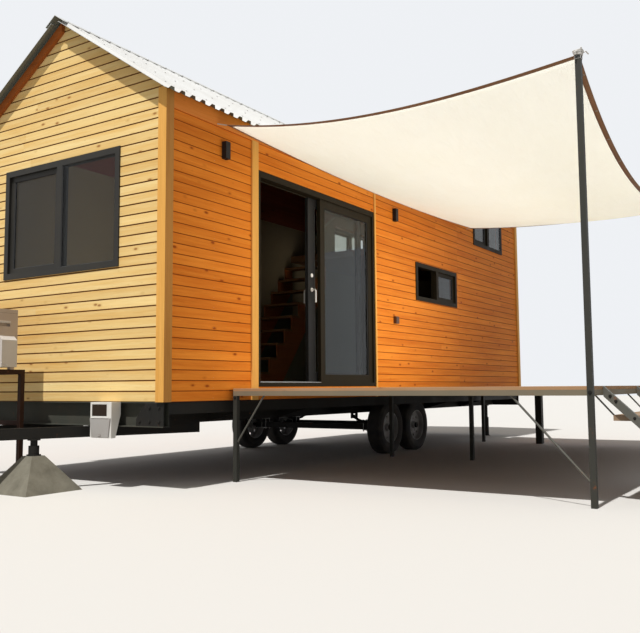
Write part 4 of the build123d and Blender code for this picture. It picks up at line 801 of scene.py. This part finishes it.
def deck_boards():
    """Planks with chamfered tops, and a strip over the ends of the first and last."""
    low, high, pitch = DECK_LOW, DECK_HIGH, DECK_PITCH
    mesh = bmesh.new()
    layer = mesh.loops.layers.color.new("board")
    edge, gap, notch = 0.002, 0.005, 0.041

    def place(station, across, up):
        return Vector((across, station, up))

    for number in range(DECK_COUNT):
        start = low.x + number * pitch
        end = start + pitch - gap
        top = high.z - edge
        colour = (chance.random(), chance.random(), chance.random(), 1.0)
        profile = [(start, low.z), (start, top), (start + edge, high.z)]
        profile += [(end - edge, high.z), (end, top), (end, low.z)]
        front = low.y + chance.uniform(0.0, 0.006)
        if number in (0, DECK_COUNT - 1):
            front = low.y + 0.04
        add_prism(mesh, profile, front, high.y, place, colour, layer, ())
    for start, end in ((low.x + notch, low.x + pitch - gap), (high.x - pitch, high.x - notch)):
        profile = [(start, low.z), (start, high.z), (end, high.z), (end, low.z)]
        add_prism(mesh, profile, low.y, low.y + 0.0399, place, PLAIN, layer, ())
    piece = finish_object("deck_planks", mesh, ["deck_wood"])
    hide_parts("deck_boards")


deck_boards()


# Shade sail, tied at four corners
SAIL = [Vector(spot) for spot in (
    (0.658, -0.09, 3.108), (0.887, -3.078, 3.115), (6.231, -0.09, 3.108), (6.404, -3.078, 3.115))]
SAIL_LENGTH, SAIL_DEPTH = 5.6, 2.99


def sail_edge(first, last, inward, sag, skew, t):
    """A hollow edge between two corners, drawn inwards and down."""
    weight = 4 * t * (1 - t) * (1 + skew * (1 - 2 * t))
    spot = first.lerp(last, t) + Vector(inward) * weight
    spot.z -= sag * weight
    return spot


def sail_point(u, v):
    """u from the near edge to the far edge, v from the wall to the posts."""
    near_wall, near_post, far_wall, far_post = SAIL
    near = sail_edge(near_wall, near_post, (0.138, 0, 0), 0.088, 0.27, v)
    far = sail_edge(far_wall, far_post, (-0.101, 0, 0), 0.091, 0.0, v)
    wall = sail_edge(near_wall, far_wall, (0, 0, 0), 0.07, 0.0, u)
    post = sail_edge(near_post, far_post, (0, 0.097, 0), 0.421, 0.05, u)
    near_corners = near_wall * (1 - v) + near_post * v
    far_corners = far_wall * (1 - v) + far_post * v
    corners = near_corners * (1 - u) + far_corners * u
    spot = near * (1 - u) + far * u + wall * (1 - v) + post * v - corners
    spot.z -= 0.07 * 16 * u * (1 - u) * v * (1 - v)
    return at(*spot)


def sail_surface(name, u_values, v_values, thickness, material):
    """A part of the sail as a smooth cloth of some thickness, just over the solid."""
    mesh = bmesh.new()
    lift = Vector((0, 0, 0.003))
    grid = [[mesh.verts.new(sail_point(u, v) + lift) for v in v_values] for u in u_values]
    for row, after in zip(grid, grid[1:]):
        for column in range(len(v_values) - 1):
            corners = (row[column], after[column], after[column + 1], row[column + 1])
            mesh.faces.new(corners)
    piece = finish_object(name, mesh, [material], smooth=True)
    solid = piece.modifiers.new("cloth", "SOLIDIFY")
    solid.thickness = thickness
    solid.offset = 0.0
    return piece


def spread(start, end, count):
    return [start + (end - start) * number / count for number in range(count + 1)]


def sail():
    long, deep = 72, 44
    u_values, v_values = spread(0, 1, long), spread(0, 1, deep)
    cloth_piece = sail_surface("shade_sail", u_values, v_values, 0.0012, "sail_cloth")
    near, far = 0.034 / SAIL_LENGTH, 0.05 / SAIL_LENGTH
    wall, posts = 0.022 / SAIL_DEPTH, 0.042 / SAIL_DEPTH
    bands = (
        ("hem_near", (0.0, near, 2), (0.0, 1.0, deep), 0.0032),
        ("hem_far", (1.0 - far, 1.0, 2), (0.0, 1.0, deep), 0.01),
        ("hem_wall", (near, 1.0 - far, long), (0.0, wall, 2), 0.0032),
        ("hem_posts", (near, 1.0 - far, long), (1.0 - posts, 1.0, 2), 0.0032),
    )
    for name, across, along, thick in bands:
        sail_surface(name, spread(*across), spread(*along), thick, "hem_cloth")
    eyelets()
    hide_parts("sail")


def eyelets():
    """Metal rings pressed into the hem along the posts' edge and at the corners."""
    mesh = bmesh.new()
    spots = [(0.04 + 0.085 * number, 1.0 - 0.02 / SAIL_DEPTH) for number in range(12)]
    spots += [(0.006, 0.012), (0.994, 0.012)]
    inner, outer, rim, half, low = 0.0055, 0.0085, 0.0105, 0.0032, 0.0024
    ring = [(-half, outer), (-half, inner), (half, inner), (half, outer)]
    ring += [(low, rim), (-low, rim), (-half, outer)]
    for u, v in spots:
        centre = sail_point(u, v) + Vector((0, 0, 0.003))
        along = sail_point(min(1, u + 0.002), v) - sail_point(max(0, u - 0.002), v)
        across = sail_point(u, min(1, v + 0.002)) - sail_point(u, max(0, v - 0.002))
        normal = along.cross(across).normalized()
        lathe(mesh, centre, normal, ring, 16)
    return finish_object("eyelets", mesh, ["bare_steel"])


def post_lashings():
    """Cord turns and a black strap at the top of both posts."""
    mesh = bmesh.new()
    half, radius = 0.02, 0.0048
    ends = ((-0.052, -0.012, 0.014), (-0.046, 0.02, -0.004), (0.05, -0.022, 0.01))
    for x in POSTS:
        for turn in range(4):
            points = []
            for step in range(25):
                angle = 2 * math.pi * step / 24
                dx, dy = math.cos(angle), math.sin(angle)
                reach = (half + radius + 0.002 * turn) / max(abs(dx), abs(dy), 0.78)
                height = 3.098 + turn * 0.0088 + 0.0035 * math.sin(angle + turn)
                points.append(at(x + reach * dx, POST_Y + reach * dy, height))
            tube(mesh, points, radius)
        front = POST_Y - half
        for dx, dy, dz in ends:
            start = (x + math.copysign(half + 0.006, dx), front - 0.005, 3.116)
            middle = (x + dx * 0.8, front + dy, 3.12 + dz)
            last = (x + dx * 1.25, front + dy * 1.6, 3.104 + dz)
            tube(mesh, [at(*start), at(*middle), at(*last)], 0.0046)
        out = half + 0.003
        slab(mesh, (x - out, POST_Y - out, 3.066), (x + out, POST_Y + out, 3.09), 0.002, 1)
    piece = finish_object("post_lashings", mesh, ["rag_cloth", "rubber_seal"])


sail()
post_lashings()


# Small fittings: (distance, radius) of turned heads, and places in house axes
FLAT_HEAD = [(0.0, 0.0042), (0.001, 0.0042), (0.0004, 0.0018)]
TREAD_HEAD = [(0.0, 0.0055), (0.0012, 0.0055), (0.0005, 0.0022)]
CASING_HEAD = [(-0.0005, 0.0052), (0.0012, 0.005), (0.002, 0.0026)]
COVER_HEAD = [(-0.0005, 0.0046), (0.0016, 0.0042), (0.0022, 0.002)]
AXLES = (4.1, 4.82)
HUB = 0.32


def roof_screws():
    """Screws on every second rib crest and along the ridge cap."""
    mesh = bmesh.new()
    middle = WIDTH / 2
    rib, over = 0.125, 0.029
    for first, count, eave in ((-0.045, 48, FRONT_EAVE), (6.02, 20, LOFT_EAVE)):
        rise = (RIDGE - eave) / middle
        slope = math.atan(rise)
        for side in (-1, 1):
            normal = Vector((0, side * math.sin(slope), math.cos(slope)))
            for number in range(0, count, 2):
                x = first + rib * number
                for distance in (0.1, 0.54, 0.98, 1.34):
                    y = -0.095 + distance * math.cos(slope)
                    z = RIDGE - (middle - y) * rise
                    spot = at(x, y if side < 0 else WIDTH - y, z) + normal * over
                    bolt(mesh, spot, normal, 0.0062)
                reach = 0.118 * math.cos(slope)
                z = RIDGE + (over + 0.004) * math.hypot(1, rise) + 0.0003 - reach * rise
                bolt(mesh, at(x, middle + side * reach, z), normal, 0.0062)
    piece = finish_object("roof_screws", mesh, ["bare_steel"])


def wheel_fasteners():
    """Wheel nuts and a dust cap over the spindle's end, on each wheel."""
    circle = 0.082
    cap = [(0.0, 0.034), (0.018, 0.033), (0.0225, 0.026), (0.0245, 0.0)]
    for row, x in zip(("front", "rear"), AXLES):
        for side, y, out in (("door", 0.235, -1), ("back", WIDTH - 0.235, 1)):
            mesh = bmesh.new()
            axis = (0, out, 0)
            face = y + out * (0.019 + 0.005)
            for number in range(5):
                angle = 2 * math.pi * number / 5 + 0.3
                spot = at(x + circle * math.cos(angle), face, HUB + circle * math.sin(angle))
                bolt(mesh, spot, axis, 0.0115)
            lathe(mesh, at(x, y + out * 0.19 * 0.32, HUB), axis, cap, 24, 1)
            piece = finish_object(
                f"wheel_nuts_{row}_{side}", mesh, ["bare_steel", "black_steel"],
                f"wheel_{row}_{side}_side")


def spring_clamps():
    """Clamp plates, threaded legs and nuts that hold each axle to its springs."""
    mesh = bmesh.new()
    low, high, thick = 0.2765, 0.3945, 0.008
    leg = [(0, 0.0036), (0.002, 0.0042), (0.1455, 0.0042)]
    for x in AXLES:
        for y in (0.485, WIDTH - 0.485):
            for z in (high, low):
                slab(mesh, (x - 0.052, y - 0.041, z), (x + 0.052, y + 0.041, z + thick))
            for dx in (-0.0425, 0.0425):
                for dy in (-0.033, 0.033):
                    lathe(mesh, at(x + dx, y + dy, 0.262), UP, leg, 10)
                    bolt(mesh, at(x + dx, y + dy, high + thick), UP, 0.0072)
                    bolt(mesh, at(x + dx, y + dy, low), (0, 0, -1), 0.0072)
    piece = finish_object("spring_clamps", mesh, ["bare_steel"])


def frame_bolts():
    """Bolts on gussets, posts, stringers and the coupling."""
    mesh = bmesh.new()
    for z, insets in ((0.545, (0.045, 0.15, 0.26)), (0.655, (0.045, 0.15))):
        for y in insets + tuple(WIDTH - inset for inset in insets):
            bolt(mesh, at(0.0, y, z), (-1, 0, 0), 0.01)
    for x, out in ((0.83, -1), (6.635, 1)):
        bolt(mesh, at(x, POST_Y, 0.762), (out, 0, 0), 0.009)
        bolt(mesh, at(x, -0.05, 0.725), (out, 0, 0), 0.008)

    def stringer(z, aside):
        return -3.098 - (DECK_TOP - z) / math.tan(math.radians(43.3)) + aside

    stringers = ((1.107, -1), (2.247, 1))
    for x, out in stringers:
        for z in (0.7, 0.735):
            bolt(mesh, at(x, min(stringer(z, 0.03), -3.11), z), (out, 0, 0), 0.008)
    for x, out in stringers:
        for share in (0.25, 0.5, 0.75):
            z = DECK_TOP * share - 0.02
            bolt(mesh, at(x, stringer(z, 0.034), z), (out, 0, 0), 0.007)
    for z in (0.43, 0.485):
        bolt(mesh, at(-0.95, 1.23, z), (0, -1, 0), 0.009)
        bolt(mesh, at(-0.95, 1.32, z), (0, 1, 0), 0.009)
    piece = finish_object("frame_bolts", mesh, ["black_steel"])


def deck_screws():
    """Two screws where each plank crosses a joist."""
    mesh = bmesh.new()
    for number in range(DECK_COUNT):
        for joist in (-3.038, -2.042, -1.046, -0.05):
            for share in (0.25, 0.72):
                x = DECK_LOW.x + (number + share) * DECK_PITCH - origin.x
                spot = at(x, joist + chance.uniform(-0.006, 0.006), DECK_TOP - 0.0005)
                lathe(mesh, spot, UP, FLAT_HEAD, 8)
    piece = finish_object("deck_screws", mesh, ["bare_steel"])


def tread_screws():
    """Six screws on each tread, whose tops are every second level of the treads' corners."""
    mesh = bmesh.new()
    low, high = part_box("step_treads")
    corners = [v.co for v in nodes["step_treads"].data.vertices]
    for top in sorted({round(spot.z, 4) for spot in corners})[1::2]:
        across = [spot.y for spot in corners if abs(spot.z - top) < 1e-3]
        y0, y1 = min(across), max(across)
        for x in (low.x + 0.035, high.x - 0.035):
            for y in (y0 + 0.06, (y0 + y1) / 2, y1 - 0.06):
                lathe(mesh, (x, y, top - 0.0005), UP, TREAD_HEAD, 10)
    piece = finish_object("tread_screws", mesh, ["bare_steel"])


def glazing():
    """Rubber seals round the panes, and the bright bead on the sliding leaf."""
    mesh = bmesh.new()
    sash, frame_pane = (-0.0105, -0.0022), (0.0155, 0.0238)
    loft_sash = ((7.143, 7.648), (2.978, 3.428), sash)
    loft_frame = ((6.614, 7.027), (3.024, 3.382), frame_pane)
    frame_strips(mesh, (2.398, 3.322), (0.944, 2.706), on_door_wall, (0.018, 0.0268), 0.007)
    for place, u_range, z_range, depths in (
        (on_door_wall, (5.2235, 5.734), (2.017, 2.309), frame_pane),
        (on_door_wall, *loft_sash),
        (on_door_wall, *loft_frame),
        (on_front_gable, (0.579, 1.255), (1.886, 2.806), sash),
        (on_front_gable, (1.371, 1.955), (1.932, 2.76), frame_pane),
        (on_back_wall, *loft_sash),
        (on_back_wall, *loft_frame),
    ):
        frame_strips(mesh, u_range, z_range, place, depths, 0.006)
    piece = finish_object("pane_seals", mesh, ["rubber_seal"])
    mesh = bmesh.new()
    frame_strips(mesh, (2.281, 3.164), (0.96, 2.7), on_door_wall, (0.068, 0.0768), 0.007)
    slab(mesh, (2.2812, 0.064, 0.962), (2.2872, 0.069, 2.698), 0.0008, 1)
    piece = finish_object("leaf_seals", mesh, ["rubber_seal", "aluminium"], "sliding_leaf")


def lamp_lenses():
    """Domed lenses in both ends of both wall lamps."""
    mesh = bmesh.new()
    dome = [(0.0, 0.0172), (0.002, 0.0172), (0.0045, 0.011), (0.0055, 0.0)]
    for x in (0.73, 3.96):
        for z, up in ((2.832, 1), (2.987, -1)):
            lathe(mesh, at(x, -0.025, z + up * 0.0138), (0, 0, -up), dome, 20)
    piece = finish_object("lamp_lenses", mesh, ["lamp_lens"], smooth=True)


def electric_details():
    """Lid of the outdoor socket, and the dark window, hinge and catch of the inlet box."""
    mesh = bmesh.new()
    slab(mesh, (3.925, -0.0385, 1.583), (3.995, -0.0338, 1.65), 0.0018, 0)
    lathe(mesh, at(3.93, -0.0362, 1.652), (1, 0, 0), [(0.0, 0.0024), (0.06, 0.0024)], 10, 0)
    slab(mesh, (-0.0996, 0.5265, 0.5835), (-0.0971, 0.7095, 0.6875), 0.0006, 1)
    frame_strips(mesh, (0.526, 0.71), (0.583, 0.688), on_front_gable, (-0.1015, -0.0998), 0.005, 2)
    knuckles = [(y, 0.024, 0.0046) for y in (0.508, 0.588, 0.668)]
    for y, width, radius in [(0.5, 0.2, 0.0034)] + knuckles:
        lathe(mesh, at(-0.1125, y, 0.5745), (0, 1, 0), [(0.0, radius), (width, radius)], 12, 2)
    slab(mesh, (-0.1165, 0.585, 0.424), (-0.1115, 0.615, 0.44), 0.0015, 3)
    materials = ["socket_plastic", "smoked_plastic", "white_plastic", "flap_plastic"]
    piece = finish_object("electric_details", mesh, materials)


def unit_details():
    """Grip lip, panel seams, screws on the casing and its side cover, louvres and fan blades of the outdoor
    unit.
    """
    mesh = bmesh.new()
    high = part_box("ac_casing")[1]
    x0, x1 = AC_START, high.x - origin.x
    y0, y1, z1 = AC_SIDE, high.y - origin.y, high.z
    slab(mesh, (-0.494, y0 - 0.0045, 1.374), (-0.356, y0 + 0.001, 1.394), 0.0015, 1)
    for x in (x0 + 0.014, x1 - 0.014):
        for z in (1.03, 1.24, z1 - 0.022):
            for y, out in ((y0, -1), (y1, 1)):
                lathe(mesh, at(x, y, z), (0, out, 0), CASING_HEAD, 12, 3)
    for x in (-0.455, -0.33):
        lathe(mesh, at(x, 1.406, 1.03), (0, -1, 0), COVER_HEAD, 12, 3)
    slab(mesh, (x0 - 0.001, y0 + 0.15, 1.01), (x0 + 0.0006, y0 + 0.1525, z1 - 0.01), 0.0004, 2)
    seam = (x0 + 0.008, y0 - 0.0008, z1 - 0.034), (x1 - 0.002, y0 + 0.0006, z1 - 0.032)
    slab(mesh, *seam, 0.0003, 2)
    for number in range(9):
        z = 1.12 + number * 0.022
        slab(mesh, (x0 - 0.003, y0 + 0.03, z), (x0 + 0.0008, y0 + 0.125, z + 0.007), 0.0012, 0)
        slab(mesh, (x0 + 0.075, y1 - 0.0008, z), (x1 - 0.075, y1 + 0.0002, z + 0.007), 0.0003, 2)
    for number in range(3):
        fan_blade(mesh, at(x0 + 0.03, *AC_FAN), number * 2 * math.pi / 3)
    materials = ["casing_white", "cover_plastic", "lamp_black", "bare_steel"]
    piece = finish_object("unit_details", mesh, materials)


def fan_blade(mesh, centre, turn):
    """One twisted blade, thin and closed."""
    rows = []
    for share in (0.0, 0.25, 0.5, 0.75, 1.0):
        radius = 0.049 + share * 0.138
        half = 0.36 + 0.1 * share
        row = []
        for end in (-1, -0.33, 0.33, 1):
            angle = turn + end * half
            lift = end * (0.016 - 0.004 * share)
            row.append(centre + Vector((lift, radius * math.cos(angle), radius * math.sin(angle))))
        rows.append(row)
    sheets = []
    for shift in (-0.0009, 0.0009):
        move = Vector((shift, 0, 0))
        sheets.append([[mesh.verts.new(spot + move) for spot in row] for row in rows])
    faces = []
    rims = []
    for sheet in sheets:
        for row, after in zip(sheet, sheet[1:]):
            for j in range(len(row) - 1):
                faces.append(mesh.faces.new((row[j], after[j], after[j + 1], row[j + 1])))
        ends = [row[-1] for row in sheet[1:]] + sheet[-1][-2::-1]
        rims.append(sheet[0] + ends + [row[0] for row in sheet[-2:0:-1]])
    for step in range(len(rims[0])):
        (a, b), (c, d) = ((rim[step - 1], rim[step]) for rim in rims)
        faces.append(mesh.faces.new((a, b, d, c)))
    for face in faces:
        face.material_index = 2


roof_screws()
wheel_fasteners()
spring_clamps()
frame_bolts()
deck_screws()
tread_screws()
glazing()
lamp_lenses()
electric_details()
unit_details()


# Stage and light
def stage():
    """Pale floor that looks lighter to the camera than it lights the house."""
    far = 60.0
    corners = [(-far, -far, 0.0), (far, -far, 0.0), (far, far, 0.0), (-far, far, 0.0)]
    data = bpy.data.meshes.new("floor_plane")
    data.from_pydata(corners, [], [(0, 1, 2, 3)])
    paint = Paint("pale_floor")
    seen = paint.make("LightPath").outputs["Is Camera Ray"]
    paint.finish(paint.mix(seen, (0.42, 0.41, 0.39), (0.66, 0.66, 0.65)), 0.9)
    data.materials.append(look["pale_floor"])
    floor = link_object("floor_plane", data)


def world():
    """Soft light on the house, and a pale backdrop for the camera, metal and glass."""
    studio = bpy.context.scene.world = bpy.data.worlds.new("studio")
    sky = Nodes(studio)
    path = sky.make("LightPath").outputs
    bent = sky.math("MAXIMUM", path["Is Glossy Ray"], path["Is Transmission Ray"])
    mix = sky.make("MixShader")
    sky.wire(sky.math("MAXIMUM", path["Is Camera Ray"], bent), mix.inputs["Fac"])
    plain, seen = sky.tree.nodes["Background"], sky.make("Background")
    looks = ((plain, (1.0, 0.94, 0.9), 0.34), (seen, (0.86, 0.88, 0.91), 1.0))
    for number, (shader, colour, strength) in enumerate(looks, 1):
        sky.feed(colour, shader.inputs["Color"])
        sky.feed(strength, shader.inputs["Strength"])
        sky.wire(shader.outputs[0], mix.inputs[number])
    sky.wire(mix.outputs[0], sky.tree.nodes["World Output"].inputs["Surface"])


def lamps():
    """The sun, and a soft panel for what the ground and the sail throw on the door wall."""
    sun = bpy.data.lights.new("key", "SUN")
    sun.energy = 3.7
    sun.angle = math.radians(1.5)
    panel = bpy.data.lights.new("under_sail", "AREA")
    panel.shape = "RECTANGLE"
    panel.size, panel.size_y = 4.0, 1.3
    panel.spread = math.radians(100)
    panel.energy = 42.0
    sun.color = panel.color = (1.0, 0.97, 0.92)
    lamp = link_object("key", sun)
    lamp.rotation_euler = Vector((0.475, 0.01, -0.88)).to_track_quat("-Z", "Y").to_euler()
    lamp = link_object("under_sail", panel)
    turn = Vector((0.0, 1.0, 0.04)).to_track_quat("-Z", "Y").to_matrix().to_4x4()
    lamp.matrix_world = Matrix.Translation(at(3.1, -2.95, 1.5)) @ turn
    lamp.visible_camera = False
    lamp.visible_glossy = False
    lamp.visible_transmission = False


stage()
world()
lamps()
bpy.context.scene.view_settings.view_transform = "Standard"
